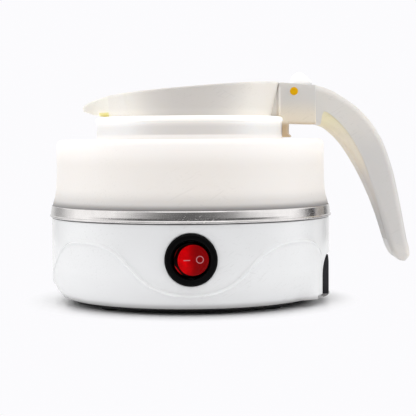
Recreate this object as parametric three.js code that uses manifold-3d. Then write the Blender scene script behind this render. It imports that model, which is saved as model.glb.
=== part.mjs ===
// Collapsible travel kettle, folded flat: a heating base, a silicone body that folds down over its own neck,
// and a spout ring with a hinged lid and a curved handle.
// Millimetres, +Z up. The origin is the centre of the base plate's flat underside, on the axis of the round body.
// The beak points to -X, the handle to +X and the switch to -Y.
import * as THREE from 'three';
import { mergeVertices } from 'three/addons/utils/BufferGeometryUtils.js';
import Module from 'manifold-3d';

const wasm = await Module();
wasm.setup();

// Driving dimensions

const clearance = 0.3;
const overrun = 2;
const mergeTolerance = 1e-4;
const roundSegments = 40;
const hiddenSegments = 36;
const smallSegments = 10;
const screwSegments = 8;
const cornerSteps = 3;
const waveSegments = 64;
const hollowSegments = 120;

// Base
const plateInset = 2.2;
const plateThickness = 2.6;
const plateLipThickness = 1.7;
const plateLipWidth = 3;
const plateEdge = 1.2;
const plateSpigotHeight = 2.6;
const plateSpigotWall = 2.2;
const footRadius = 5;
const footProud = 1;
const footRecess = 1;
const footMargin = 8.5;
const footEdge = 0.8;
const feetCount = 4;

const housingWall = 2.4;
const housingTopZ = 40.7;
const housingFootInset = 5.3;
const housingMidRadius = 69.2;
const housingTopInset = 0.2;
const housingCornerHeight = 15;
const housingCornerCurveShare = 1.6;
const housingMidDrop = 16.7;
const ledgeThickness = 2.2;
const ledgeWidth = 8;
const waveCount = 4;
const waveDrop = 20.7;
const waveHeight = 11;
const waveProud = 0.9;
const waveLedge = 1.1;
const bossRadius = 3.6;
const bossRib = 2;
const bossPanGap = 1;
const screwCount = 4;
const screwFirstAngle = 22.5;
const footFirstAngle = 45;
const screwShank = 1.5;
const screwHead = 2.9;
const screwHeadHeight = 1.3;
const screwLength = 12;
const screwSlot = 0.7;
const screwHeadDepth = 0.2;

// Heating pan and band
const panFlangeInset = 0.6;
const panSheet = 0.8;
const panFlangeWidth = 8.4;
const panWallRun = 5;
const panDepth = 5;
const panCornerAngle = 50;
const bandHeight = 5.7;
const bandTopWall = 0.4;
const bandBulge = 0.35;
const bandLipReach = 1.3;
const bandLipHeight = 1.9;
const clampWidth = 3;
const clampThickness = 1.2;

// Silicone body
const siliconeWall = 2.2;
const footFlangeThickness = 2.2;
const skirtClearance = 0.2;
const skirtHeight = 5.3;
const waistInset = 1.7;
const waistHeight = 6.6;
const lowerTierInset = 2.1;
const lowerTierHeight = 37.9;
const shoulderCorner = 3.6;
const shoulderWidth = 9.4;
const foldTaper = 5;
const foldDepth = 26;
const foldWall = 1.7;
const neckWaist = 3.6;
const neckFootHeight = 7;
const neckProud = 10;
const neckBead = 1.5;

// Spout ring
const ringWall = 2.2;
const ringFootInset = 5.3;
const ringFlare = 3.4;
const ringTopRoom = 0.8;
const spigotDepth = 7.5;
const rimHeight = 13.4;
const rimRiseShare = 0.076;
const beakCreaseInset = 5.9;
const beakCreaseHalf = 19;
const beakOverhang = 9.5;
const beakTipHalf = 2.6;
const beakTipDrop = 8.8;
const beakShoulderInset = 5;
const beakShoulderDrop = 5.9;
const beakTipRise = 2.7;
const beakWall = 1.5;
const beakKeelShare = 0.72;
const beakTipShare = 0.6;
const beakLeastHalf = 0.5;
const beakRootDepth = 6;

// Bracket, hinge and lid
const bracketGap = 0.1;
const bracketLength = 16.9;
const bracketHalf = 12;
const bracketDrop = 3.5;
const bracketEdge = 1.2;
const slotHalf = 7.9;
const slotFloorHeight = 4.7;
const webHalf = 9.5;
const webReach = 8;
const webFloorHeight = 10.9;
const strapThickness = 2.6;
const strapFootDrop = 0.3;
const strapLip = 1.1;
const pinRadius = 2.1;
const pinInset = 6.4;
const pinHeight = 15.7;
const knuckleRadius = 4.1;
const tongueInset = 5.9;
const tongueHalf = 8;
const tongueThickness = 1.9;
const tongueUnder = 1.2;
const handleScrewSpacing = 5;
const handleScrewHead = 2;
const handleScrewShank = 1;

const lidGap = 0.5;
const lidThickness = 2;
const lidSkirtInset = 3.7;
const lidSkirtWall = 1.6;
const lidSkirtDepth = 3;
const lidArmHalf = 7;
const lidArmThickness = 3.4;
const tabHeight = 8.6;
const tabReach = 8.9;
const innerPlateThickness = 1.5;
const sealBead = 0.9;
const lidNotchHalf = 12;

// Handle
const handleReach = 47.7;
const handleDrop = 87.3;
const handleTopHeight = 18.8;
const handleHalfSeam = 12;
const handleHalfTip = 9.5;
const handleEdge = 3.2;
const gripInset = 2.6;
const gripClearance = 0.3;

// Switch
const switchDrop = 15.8;
const switchFaceInset = 0.9;
const bezelRadius = 12;
const bezelThickness = 1.5;
const bezelEdge = 0.8;
const switchBodyRadius = 10;
const switchDepth = 13;
const windowRadius = 8.1;
const windowDepth = 9;
const rockerRadius = 7.3;
const rockerPivotDepth = 3.4;
const rockerTilt = 8;
const rockerFrontRadius = 40;
const rockerCrown = 4.3;
const rockerBack = 3.6;
const axleRadius = 0.9;
const axleReach = 1;
const terminalWidth = 4.8;
const terminalThickness = 0.8;
const terminalLength = 7;
const terminalSpacing = 8;

// Inlet
const inletFaceInset = 1.6;
const inletStand = 5;
const inletHalf = 13.5;
const inletLowZ = 3;
const inletHighZ = 22;
const inletFlange = 5.9;
const inletChamfer = 3;
const inletWall = 1.4;
const inletDepth = 17;
const inletFloor = 2;
const inletFlangeMargin = 1.6;
const inletReliefHalf = 17;
const pocketHalf = 28.3;
const pocketTopRoom = 1.2;
const pocketTopCorner = 10;
const pocketFootCorner = 4;
const pocketWall = 2.4;
const contactWidth = 4;
const contactThickness = 2;
const contactLength = 13;
const contactTail = 5;
const contactSpacing = 7;
const contactRaise = 2;

// Under the pan
const spreaderInset = 9;
const spreaderThickness = 2;
const elementRadius = 3.2;
const elementInset = 9;
const elementGapAngle = 44;
const elementDrop = 9;
const elementBendAngle = 8;
const elementSteps = 30;
const elementSides = 6;
const thermostatRadius = 8;
const thermostatHeight = 6;
const fuseRadius = 1.8;
const fuseLength = 11;
const fuseX = 16;
const blockWidth = 20;
const blockDepth = 10;
const blockHeight = 9;
const blockX = -14;
const blockY = 8;
const wireRadius = 1.1;
const wireLead = 7;
const wireSteps = 16;
const wireSides = 6;

// Derived places

const housingFootRadius = housingMidRadius - housingFootInset;
const housingTopRadius = housingMidRadius - housingTopInset;
const ledgeInnerRadius = housingTopRadius - ledgeWidth;
const housingMidZ = housingTopZ - housingMidDrop;
const waveMeanZ = housingTopZ - waveDrop;
const plateRadius = housingFootRadius - plateInset;
const footCircleRadius = plateRadius - footMargin;
const bossCircleRadius = footCircleRadius;
const panFlangeRadius = housingTopRadius - panFlangeInset;
const panMouthRadius = panFlangeRadius - panFlangeWidth;
const panFloorRadius = panMouthRadius - panWallRun;
const spreaderRadius = panFloorRadius - spreaderInset;
const elementCircle = spreaderRadius - elementInset;
const panFlangeZ = housingTopZ + clearance;
const panFloorZ = panFlangeZ - panDepth;
const siliconeFootZ = panFlangeZ + panSheet + clearance;
const bandBottomZ = panFlangeZ + clearance / 2;
const bandInnerRadius = panFlangeRadius + clearance;
const bandTopRadius = bandInnerRadius + bandTopWall;
const bandLipRadius = bandInnerRadius + bandLipReach;
const skirtRadius = bandInnerRadius - skirtClearance;
const skirtTopZ = siliconeFootZ + skirtHeight;
const waistRadius = skirtRadius - waistInset;
const waistZ = skirtTopZ + waistHeight;
const lowerTierRadius = skirtRadius - lowerTierInset;
const shoulderZ = siliconeFootZ + lowerTierHeight;
const foldTopRadius = lowerTierRadius - shoulderWidth;
const foldBottomRadius = foldTopRadius - foldTaper;
const neckFootRadius = foldBottomRadius - foldWall - clearance;
const neckRadius = neckFootRadius - neckWaist;
const neckTopZ = shoulderZ + neckProud;
const neckInnerRadius = neckRadius - siliconeWall + clearance / 3;
const spigotRadius = neckInnerRadius - clearance;
const ringFootZ = neckTopZ + clearance;
const foldBottomZ = shoulderZ - foldDepth - clearance;
const ringFootRadius = neckRadius - ringFootInset;
const ringTopRadius = ringFootRadius + ringFlare;
const rimCentreZ = ringFootZ + rimHeight;
const ringTopZ = rimCentreZ + ringTopRoom;
const beakCreaseX = ringTopRadius - beakCreaseInset;
const beakReach = ringTopRadius + beakOverhang;
const beakShoulderX = beakReach - beakShoulderInset;
const beakTipTopZ = rimCentreZ - beakTipDrop;
const beakShoulderZ = rimCentreZ - beakShoulderDrop;
const beakTipUnderZ = ringFootZ + beakTipRise;
const bracketX = ringTopRadius + bracketGap;
const seamX = bracketX + bracketLength;
const bracketUnderZ = neckTopZ - bracketDrop;
const slotFloorZ = bracketUnderZ + slotFloorHeight;
const webFloorZ = bracketUnderZ + webFloorHeight;
const strapFootZ = shoulderZ - strapFootDrop;
const pinX = bracketX + pinInset;
const pinZ = bracketUnderZ + pinHeight;
const tongueX = bracketX + tongueInset;
const handleTopZ = bracketUnderZ + handleTopHeight;
const lidRadius = ringTopRadius - ringWall - lidGap * 2;
const lidSkirtRadius = lidRadius - lidSkirtInset;
const switchZ = housingTopZ - switchDrop;
const switchFaceRadius = housingMidRadius - switchFaceInset;
const inletFaceX = housingMidRadius - inletFaceInset;
const pocketFloorX = inletFaceX - inletStand;
const pocketTopZ = inletHighZ + pocketTopRoom;
const plateTopZ = plateThickness;
const housingFootZ = plateLipThickness + clearance;
const housingHaunchZ = housingFootZ + housingCornerHeight / 2;
const rearRimZ = rimCentreZ + rimRiseShare * bracketX;

const plastic = (color, roughness) => new THREE.MeshStandardMaterial({ color, roughness, metalness: 0 });
const metal = (color, roughness) => new THREE.MeshStandardMaterial({ color, roughness, metalness: 1 });

const whiteGloss = plastic(0xf2f3f6, 0.2);
const warmWhite = plastic(0xe9e6e3, 0.35);
const siliconeWhite = plastic(0xf3efe8, 0.5);
const creamGrip = plastic(0xd9d0b4, 0.55);
const blackPlastic = plastic(0x111112, 0.4);
const blackRubber = plastic(0x1a1a1a, 0.8);
const redLens = plastic(0xd01c1c, 0.25);
const yellowPin = plastic(0xe2b31d, 0.35);
const steel = metal(0xc9cacc, 0.25);
const brightSteel = metal(0xd6d7d9, 0.12);
const castAluminium = metal(0xa9acb0, 0.5);
const brass = metal(0xc2a24f, 0.35);
const ceramicWhite = plastic(0xdedbd2, 0.6);
const brownWire = plastic(0x6b4a2f, 0.5);
const blueWire = plastic(0x2f5d9b, 0.5);
const greenWire = plastic(0x4f8f3c, 0.5);

// Helpers

const degrees = THREE.MathUtils.degToRad;
const lerp = THREE.MathUtils.lerp;

// One closed surface with merged corners, no zero triangles, and its faces pointing out.
function closed(geometry) {
  const bare = geometry.index ? geometry.toNonIndexed() : geometry.clone();
  const only = new THREE.BufferGeometry().setAttribute('position', bare.getAttribute('position'));
  const merged = mergeVertices(only, mergeTolerance);
  const kept = [];
  const index = merged.index.array;
  for (let i = 0; i < index.length; i += 3) {
    const [a, b, c] = [index[i], index[i + 1], index[i + 2]];
    if (a !== b && b !== c && c !== a) kept.push(a, b, c);
  }
  if (signedVolume(merged.attributes.position, kept) < 0) kept.reverse();
  merged.setIndex(kept);
  return merged;
}

function signedVolume(position, index) {
  const [p, q, r] = [0, 1, 2].map(() => new THREE.Vector3());
  let sum = 0;
  for (let i = 0; i < index.length; i += 3) {
    [p, q, r].forEach((corner, k) => corner.fromBufferAttribute(position, index[i + k]));
    sum += p.dot(q.cross(r)) / 6;
  }
  return sum;
}

function solidOf(geometry) {
  const g = closed(geometry);
  return new wasm.Manifold(new wasm.Mesh({
    numProp: 3,
    vertProperties: Float32Array.from(g.attributes.position.array),
    triVerts: Uint32Array.from(g.index.array),
  }));
}

function geometryOf(solid) {
  const mesh = solid.getMesh();
  const g = new THREE.BufferGeometry();
  g.setAttribute('position', new THREE.BufferAttribute(Float32Array.from(mesh.vertProperties), 3));
  g.setIndex(Array.from(mesh.triVerts));
  return g;
}

// A solid of revolution about Z. The profile is [radius, z] pairs, anticlockwise.
function revolve(profile, segments = roundSegments) {
  const points = profile.map(([r, z]) => new THREE.Vector2(r, z));
  if (profile[0][0] > 0) points.push(points[0].clone());
  return new THREE.LatheGeometry(points, segments).rotateX(Math.PI / 2);
}

// The corner of an outline as an arc, from one angle to another in degrees.
function arc(cx, cy, radius, from, to, steps) {
  return Array.from({ length: steps + 1 }, (_, i) => {
    const angle = degrees(lerp(from, to, i / steps));
    return [cx + radius * Math.cos(angle), cy + radius * Math.sin(angle)];
  });
}

// A closed ring whose profile may change with the angle round Z.
function sweepRing(profileAt, segments) {
  const rings = Array.from({ length: segments }, (_, i) => {
    const angle = (i / segments) * 2 * Math.PI;
    return profileAt(angle).map(([r, z]) => [r * Math.cos(angle), r * Math.sin(angle), z]);
  });
  const count = rings[0].length;
  const index = [];
  for (let i = 0; i < segments; i += 1) {
    const next = (i + 1) % segments;
    for (let j = 0; j < count; j += 1) {
      const above = (j + 1) % count;
      const [a, b, c, d] = [i * count + j, next * count + j, next * count + above, i * count + above];
      index.push(a, b, c, a, c, d);
    }
  }
  return meshFrom(rings.flat(), index);
}

function meshFrom(points, index) {
  const g = new THREE.BufferGeometry();
  g.setAttribute('position', new THREE.Float32BufferAttribute(points.flat(), 3));
  g.setIndex(index);
  return g;
}

// A skin over sections with equal counts of points, closed by a fan at each end.
function loft(sections) {
  const count = sections[0].length;
  const points = sections.flat();
  const index = [];
  for (let i = 0; i < sections.length - 1; i += 1) {
    for (let j = 0; j < count; j += 1) {
      const next = (j + 1) % count;
      const [a, b] = [i * count + j, i * count + next];
      index.push(a, b, b + count, a, b + count, a + count);
    }
  }
  const middle = (section) => [0, 1, 2].map((k) => section.reduce((sum, p) => sum + p[k], 0) / count);
  points.push(middle(sections[0]), middle(sections.at(-1)));
  const last = (sections.length - 1) * count;
  for (let j = 0; j < count; j += 1) {
    const next = (j + 1) % count;
    index.push(points.length - 2, next, j);
    index.push(points.length - 1, last + j, last + next);
  }
  return meshFrom(points, index);
}

function outline(points, holes = []) {
  const shape = new THREE.Shape(points.map(([x, y]) => new THREE.Vector2(x, y)));
  shape.holes = holes.map((hole) => new THREE.Path(hole.map(([x, y]) => new THREE.Vector2(x, y))));
  return shape;
}

// An outline in X and Z, made solid along Y from -half to half.
function slabAcross(points, half) {
  const g = new THREE.ExtrudeGeometry(outline(points), { depth: 2 * half, bevelEnabled: false });
  return g.translate(0, 0, -half).rotateX(Math.PI / 2);
}

function box(x0, x1, y0, y1, z0, z1) {
  const g = new THREE.BoxGeometry(x1 - x0, y1 - y0, z1 - z0);
  return g.translate((x0 + x1) / 2, (y0 + y1) / 2, (z0 + z1) / 2);
}

function rod(radius, length, segments = smallSegments) {
  return new THREE.CylinderGeometry(radius, radius, length, segments).rotateX(Math.PI / 2);
}

// A rod from one height to another, at a place.
function post(radius, x, y, z0, z1, segments = smallSegments) {
  return rod(radius, z1 - z0, segments).translate(x, y, (z0 + z1) / 2);
}

// A rod along Y through a place.
function crossRod(radius, length, x, y, z, segments = smallSegments) {
  return new THREE.CylinderGeometry(radius, radius, length, segments).translate(x, y, z);
}

// A round tube along a smooth curve through some points.
function tube(points, radius, steps, sides) {
  const curve = new THREE.CatmullRomCurve3(points.map((p) => new THREE.Vector3(...p)), false, 'centripetal');
  const section = outline(arc(0, 0, radius, 0, 360 - 360 / sides, sides - 1));
  return new THREE.ExtrudeGeometry(section, { steps, extrudePath: curve, bevelEnabled: false });
}

const around = (count, first, radius) => Array.from({ length: count }, (_, i) => {
  const angle = degrees(first + (360 / count) * i);
  return [radius * Math.cos(angle), radius * Math.sin(angle), angle];
});

const kettle = new THREE.Group();

function add(parent, name, geometry, material) {
  const made = geometry.isBufferGeometry ? closed(geometry) : geometryOf(geometry);
  made.computeVertexNormals();
  const mesh = new THREE.Mesh(made, material);
  mesh.name = name;
  parent.add(mesh);
  return mesh;
}

// Base plate with foot recesses and counterbored screw holes

const footPlaces = around(feetCount, footFirstAngle, footCircleRadius);
const screwPlaces = around(screwCount, screwFirstAngle, bossCircleRadius);

function basePlate() {
  const spigotOuter = housingFootRadius - housingWall - clearance;
  const lipInner = plateRadius - plateLipWidth + housingWall;
  let plate = solidOf(revolve([
    [0, 0],
    [plateRadius - plateEdge, 0],
    [plateRadius, plateEdge],
    [plateRadius, plateLipThickness],
    [Math.min(spigotOuter, lipInner), plateLipThickness],
    [Math.min(spigotOuter, lipInner), plateTopZ + plateSpigotHeight],
    [spigotOuter - plateSpigotWall, plateTopZ + plateSpigotHeight],
    [spigotOuter - plateSpigotWall, plateTopZ],
    [0, plateTopZ],
  ], hiddenSegments));
  const reliefTop = plateTopZ + plateSpigotHeight * 2;
  const inletRelief = box(0, plateRadius, -inletReliefHalf, inletReliefHalf, plateTopZ, reliefTop);
  const pocketBack = pocketFloorX - pocketWall - clearance;
  const pocketRelief = box(pocketBack, plateRadius, -inletReliefHalf, inletReliefHalf, plateLipThickness, reliefTop);
  plate = plate.subtract(solidOf(inletRelief)).subtract(solidOf(pocketRelief));
  footPlaces.forEach(([x, y]) => {
    plate = plate.subtract(solidOf(post(footRadius + clearance, x, y, -overrun, footRecess + clearance)));
  });
  screwPlaces.forEach(([x, y]) => {
    const bore = solidOf(post(screwShank + clearance, x, y, -overrun, plateTopZ + overrun, screwSegments));
    const seat = screwHeadDepth + screwHeadHeight + clearance;
    const head = solidOf(post(screwHead + clearance, x, y, -overrun, seat));
    plate = plate.subtract(bore).subtract(head);
  });
  return plate;
}

function foot() {
  return revolve([
    [0, -footProud],
    [footRadius - footEdge, -footProud],
    [footRadius, footEdge - footProud],
    [footRadius, footRecess],
    [0, footRecess],
  ], smallSegments);
}

// A pan head screw with a cross recess, head down
function screw(headRadius, headHeight, shankRadius, length) {
  const body = solidOf(revolve([
    [0, 0],
    [headRadius * 0.8, 0],
    [headRadius, headHeight / 2],
    [headRadius, headHeight],
    [shankRadius, headHeight],
    [shankRadius, length - shankRadius],
    [0, length],
  ], screwSegments));
  const reach = headRadius * 0.6;
  const deep = headHeight * 0.6;
  const half = screwSlot / 2;
  const slot = solidOf(box(-reach, reach, -half, half, -overrun, deep));
  const other = solidOf(box(-half, half, -reach, reach, -overrun, deep));
  return body.subtract(slot).subtract(other);
}

// Housing: a rounded drum with a ledge for the pan, and a raised wave that runs round it

const waveZ = (angle) => waveMeanZ + waveHeight * Math.cos(waveCount * angle + Math.PI);

// The plain outer wall's radius at a height.
function housingRadius(z) {
  const up = THREE.MathUtils.clamp((z - housingFootZ) / housingCornerHeight, 0, 1);
  const corner = housingMidRadius - (housingMidRadius - housingFootRadius) * (1 - up) ** housingCornerCurveShare;
  const past = Math.max(0, z - housingMidZ) / (housingTopZ - housingMidZ);
  return corner - (housingMidRadius - housingTopRadius) * past;
}

const cornerRowShares = [0, 0.16, 0.48, 1];
const upperRowShares = [0.35];

function housingProfile(angle) {
  const ridge = waveZ(angle);
  const lowestRidge = waveMeanZ - waveHeight - waveLedge;
  const outer = cornerRowShares.map((share) => {
    const z = lerp(housingFootZ, lowestRidge, share);
    const swell = waveProud * THREE.MathUtils.smoothstep(share, 0, 0.6);
    return [housingRadius(z) + swell, z];
  });
  outer.push([housingRadius(ridge) + waveProud, ridge - waveLedge / 2]);
  outer.push([housingRadius(ridge), ridge + waveLedge / 2]);
  upperRowShares.forEach((share) => {
    const z = lerp(ridge + waveLedge, housingTopZ, share);
    outer.push([housingRadius(z), z]);
  });
  outer.push([housingTopRadius, housingTopZ]);
  const inner = [
    [ledgeInnerRadius, housingTopZ],
    [ledgeInnerRadius, housingTopZ - ledgeThickness],
    [housingTopRadius - housingWall, housingTopZ - ledgeThickness],
    [housingMidRadius - housingWall, housingMidZ],
    [housingRadius(housingHaunchZ) - housingWall, housingHaunchZ],
    [housingFootRadius - housingWall, housingFootZ],
  ];
  return [...outer, ...inner];
}

const inletMidZ = (inletLowZ + inletHighZ) / 2;
const inletHeightHalf = (inletHighZ - inletLowZ) / 2;

// The inlet's outline in Y and Z, with chamfered upper corners, grown by a margin.
function inletOutline(margin) {
  const half = inletHalf + margin;
  const [low, high] = [inletLowZ - margin, inletHighZ + margin];
  return [
    [-half, low],
    [half, low],
    [half, high - inletChamfer],
    [half - inletChamfer, high],
    [inletChamfer - half, high],
    [-half, high - inletChamfer],
  ];
}

// The opening of the inlet's pocket in Y and Z, with its upper corners rounded most.
function pocketOutline() {
  const footY = pocketHalf - pocketFootCorner;
  const footZ = inletLowZ + pocketFootCorner;
  const topY = pocketHalf - pocketTopCorner;
  const topZ = pocketTopZ - pocketTopCorner;
  return [
    ...arc(-footY, footZ, pocketFootCorner, 180, 270, cornerSteps),
    ...arc(footY, footZ, pocketFootCorner, 270, 360, cornerSteps),
    ...arc(topY, topZ, pocketTopCorner, 0, 90, cornerSteps),
    ...arc(-topY, topZ, pocketTopCorner, 90, 180, cornerSteps),
  ];
}

// An outline in Y and Z, made solid along X.
function slabForward(points, x0, x1) {
  const g = new THREE.ExtrudeGeometry(outline(points), { depth: x1 - x0, bevelEnabled: false });
  return g.rotateX(Math.PI / 2).rotateZ(Math.PI / 2).translate(x0, 0, 0);
}

function housingShell() {
  let shell = solidOf(sweepRing(housingProfile, waveSegments));
  const core = solidOf(revolve([
    [0, housingFootZ],
    [housingFootRadius - housingWall / 2, housingFootZ],
    [housingRadius(housingHaunchZ) - housingWall / 2, housingHaunchZ],
    [housingMidRadius - housingWall / 2, housingMidZ],
    [housingTopRadius - housingWall / 2, housingTopZ],
    [0, housingTopZ],
  ], hiddenSegments));
  screwPlaces.forEach(([x, y, angle]) => {
    const top = panFloorZ - bossPanGap;
    const bottom = plateTopZ + clearance;
    const column = solidOf(post(bossRadius, x, y, bottom, top));
    const ribLow = plateTopZ + plateSpigotHeight + clearance * 2;
    const ribReach = housingTopRadius - housingWall / 2;
    const rib = box(bossCircleRadius, ribReach, -bossRib / 2, bossRib / 2, ribLow, top);
    const ribSolid = solidOf(rib.rotateZ(angle)).intersect(core);
    const pilotTop = screwHeadDepth + screwLength + clearance * 2;
    const pilot = solidOf(post(screwShank + clearance, x, y, bottom - overrun, pilotTop, screwSegments));
    shell = shell.add(column).add(ribSolid).subtract(pilot);
  });
  const sideReach = pocketHalf + pocketWall;
  const roof = pocketTopZ + pocketWall;
  const surround = box(pocketFloorX - pocketWall, inletFaceX, -sideReach, sideReach, housingFootZ, roof);
  const pocket = solidOf(slabForward(pocketOutline(), pocketFloorX, housingMidRadius + overrun));
  const flangeSeat = solidOf(slabForward(
    inletOutline(clearance),
    inletFaceX - inletFlange - clearance,
    inletFaceX,
  ));
  const throat = solidOf(slabForward(
    inletOutline(clearance - inletFlangeMargin),
    housingFootRadius / 2,
    inletFaceX,
  ));
  shell = shell.add(solidOf(surround).intersect(core)).subtract(pocket).subtract(flangeSeat).subtract(throat);
  const seatDepth = overrun * 2;
  const seatY = -switchFaceRadius - seatDepth / 2;
  const seat = crossRod(bezelRadius + clearance * 2, seatDepth, 0, seatY, switchZ, hiddenSegments);
  const bore = switchBodyRadius + clearance;
  const hole = crossRod(bore, housingMidRadius, 0, -housingMidRadius, switchZ, hiddenSegments);
  return shell.subtract(solidOf(seat)).subtract(solidOf(hole));
}

// Heating pan, clamp ring and steel band

function steelPan() {
  const wall = panSheet;
  return revolve([
    [0, panFloorZ],
    [panFloorRadius, panFloorZ],
    ...arc(panFloorRadius, panFloorZ + panDepth / 2, panDepth / 2, -panCornerAngle, 0, 1),
    [panMouthRadius, panFlangeZ],
    [panFlangeRadius, panFlangeZ],
    [panFlangeRadius, panFlangeZ + wall],
    [panMouthRadius - wall, panFlangeZ + wall],
    [panFloorRadius + wall, panFloorZ + panDepth / 2],
    [panFloorRadius - wall, panFloorZ + wall],
    [0, panFloorZ + wall],
  ], hiddenSegments);
}

function steelBand() {
  const top = bandBottomZ + bandHeight;
  const lip = bandBottomZ + bandLipHeight;
  return revolve([
    [bandInnerRadius, bandBottomZ],
    [bandLipRadius - bandBulge, bandBottomZ],
    [bandLipRadius, (bandBottomZ + lip) / 2],
    [bandLipRadius - bandBulge, lip],
    [bandTopRadius + bandBulge, (lip + top) / 2],
    [bandTopRadius + bandBulge / 2, top - bandTopWall],
    [bandTopRadius, top],
    [bandInnerRadius, top],
  ]);
}

function clampRing() {
  const outer = skirtRadius - siliconeWall * 2 - clearance;
  const low = siliconeFootZ + footFlangeThickness + clearance;
  return revolve([
    [outer - clampWidth, low],
    [outer, low],
    [outer, low + clampThickness],
    [outer - clampWidth, low + clampThickness],
  ], hiddenSegments);
}

// Silicone body in three tiers

function siliconeLowerTier() {
  const w = siliconeWall;
  const corner = shoulderCorner;
  const cornerR = lowerTierRadius - corner;
  const cornerZ = shoulderZ - corner;
  const footInner = skirtRadius - w * 2 - clampWidth;
  return revolve([
    [footInner, siliconeFootZ],
    [skirtRadius, siliconeFootZ],
    [skirtRadius, skirtTopZ],
    [lerp(skirtRadius, waistRadius, 0.6), lerp(skirtTopZ, waistZ, 0.3)],
    [waistRadius, waistZ],
    [lowerTierRadius, lerp(waistZ, shoulderZ, 0.35)],
    ...arc(cornerR, cornerZ, corner, 0, 90, cornerSteps),
    [foldTopRadius + foldWall / 2, shoulderZ],
    [foldTopRadius + clearance, shoulderZ - w],
    [cornerR, shoulderZ - w],
    [lowerTierRadius - w, cornerZ],
    [waistRadius - w, waistZ],
    [skirtRadius - w * 2, siliconeFootZ + footFlangeThickness],
    [footInner, siliconeFootZ + footFlangeThickness],
  ]);
}

function siliconeFoldTier() {
  const top = shoulderZ - foldWall / 2;
  return revolve([
    [foldBottomRadius - foldWall, foldBottomZ],
    [foldBottomRadius, foldBottomZ],
    [foldTopRadius, top],
    [foldTopRadius - foldWall, top],
  ]);
}

function siliconeNeckTier() {
  const innerFoot = neckFootRadius - siliconeWall;
  return revolve([
    [innerFoot, foldBottomZ],
    [neckFootRadius, foldBottomZ],
    [neckRadius + clearance, foldBottomZ + neckFootHeight],
    [neckRadius, shoulderZ - foldDepth / 2],
    [neckRadius, neckTopZ - neckBead],
    [neckRadius - neckBead * 0.3, neckTopZ - neckBead * 0.3],
    [neckRadius - neckBead, neckTopZ],
    [neckInnerRadius, neckTopZ],
    [neckInnerRadius, shoulderZ - foldDepth / 2],
    [neckInnerRadius + clearance, foldBottomZ + neckFootHeight],
  ]);
}

// Spout ring: a cone with a beak, a bracket for the hinge and the handle, and a strap behind the neck

// The rim seen from the side, from the beak's tip to the bracket's seam.
const rimLine = [
  [-beakReach - overrun, beakTipTopZ - overrun / 2],
  [-beakReach, beakTipTopZ],
  [-beakShoulderX, beakShoulderZ],
  [-beakCreaseX - clearance, rimCentreZ - rimRiseShare * beakCreaseX * 1.2],
  [-beakCreaseX / 2, rimCentreZ - rimRiseShare * beakCreaseX / 2],
  [0, rimCentreZ],
  [beakCreaseX / 2, rimCentreZ + rimRiseShare * beakCreaseX / 2],
  [beakCreaseX, rimCentreZ + rimRiseShare * beakCreaseX * 0.92],
  [bracketX, rearRimZ - clearance * 3],
  [seamX, handleTopZ],
  [seamX + overrun, handleTopZ - clearance],
];

const beakHalfAt = (x) => lerp(beakTipHalf, beakCreaseHalf, (beakReach - x) / (beakReach - beakCreaseX));
const underAt = (x) => {
  const from = (beakCreaseX + beakShoulderX) / 2;
  const past = THREE.MathUtils.clamp((x - from) / (beakReach - from), 0, 1);
  return ringFootZ + (beakTipUnderZ - ringFootZ) * past;
};

// The beak's sections from inside the ring to the tip, drawn in by a wall for its trough.
function beakBody(wall) {
  const top = ringTopZ + overrun * 2;
  const tip = beakReach - wall * 1.2;
  const stations = [
    beakCreaseX - beakRootDepth,
    beakCreaseX,
    lerp(beakCreaseX, tip, 0.35),
    beakShoulderX,
    lerp(beakShoulderX, tip, 0.7),
    tip,
  ];
  return loft(stations.map((x, i) => {
    const rounding = i === stations.length - 1 ? beakTipShare : 1;
    const widest = Math.max(beakLeastHalf, beakHalfAt(Math.max(x, beakCreaseX)) * rounding - wall);
    const keel = Math.max(beakLeastHalf * beakTipShare, widest * beakKeelShare);
    const low = underAt(x) + wall;
    const rim = rimCentreZ - rimRiseShare * x;
    const flare = widest + (widest - keel) * (top - rim) / (rim - low);
    const bottomCorner = (widest - keel) * 0.15;
    return [
      [-x, keel * 0.8, low],
      [-x, keel + bottomCorner, low + (rim - low) * 0.2],
      [-x, flare, top],
      [-x, -flare, top],
      [-x, -keel - bottomCorner, low + (rim - low) * 0.2],
      [-x, -keel * 0.8, low],
    ];
  }));
}

function ringCone() {
  const top = ringTopZ + overrun * 2;
  const slope = (ringTopRadius - ringFootRadius) / (ringTopZ - ringFootZ);
  const topRadius = ringTopRadius + slope * overrun * 2;
  const low = neckTopZ - spigotDepth;
  return revolve([
    [spigotRadius - ringWall, low],
    [spigotRadius, low],
    [spigotRadius, neckTopZ - clearance],
    [ringFootRadius, ringFootZ],
    [topRadius, top],
    [topRadius - ringWall, top],
    [ringFootRadius - ringWall, ringFootZ - ringWall / 2],
    [spigotRadius - ringWall, low + spigotDepth / 2],
  ]);
}

const beyond = ringTopZ + overrun * 6;

// Everything above the rim line, wide enough to cut the ring.
function aboveRim(drop) {
  const points = rimLine.map(([x, z]) => [x, z - drop]);
  points.push([seamX + overrun, beyond], [-beakReach - overrun, beyond]);
  return solidOf(slabAcross(points, ringTopRadius + overrun * 2));
}

function bracketBody() {
  const e = bracketEdge;
  const points = [
    [bracketX, bracketUnderZ + e],
    [bracketX + e, bracketUnderZ + e * 0.3],
    [lerp(bracketX, seamX, 0.6), bracketUnderZ],
    [seamX, bracketUnderZ - clearance],
    [seamX, beyond - overrun],
    [bracketX, beyond - overrun],
  ];
  const g = new THREE.ExtrudeGeometry(outline(points), {
    depth: 2 * (bracketHalf - e),
    bevelEnabled: true,
    bevelThickness: e,
    bevelSize: e,
    bevelOffset: -e,
    bevelSegments: 2,
  });
  return solidOf(g.translate(0, 0, e - bracketHalf).rotateX(Math.PI / 2));
}

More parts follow.
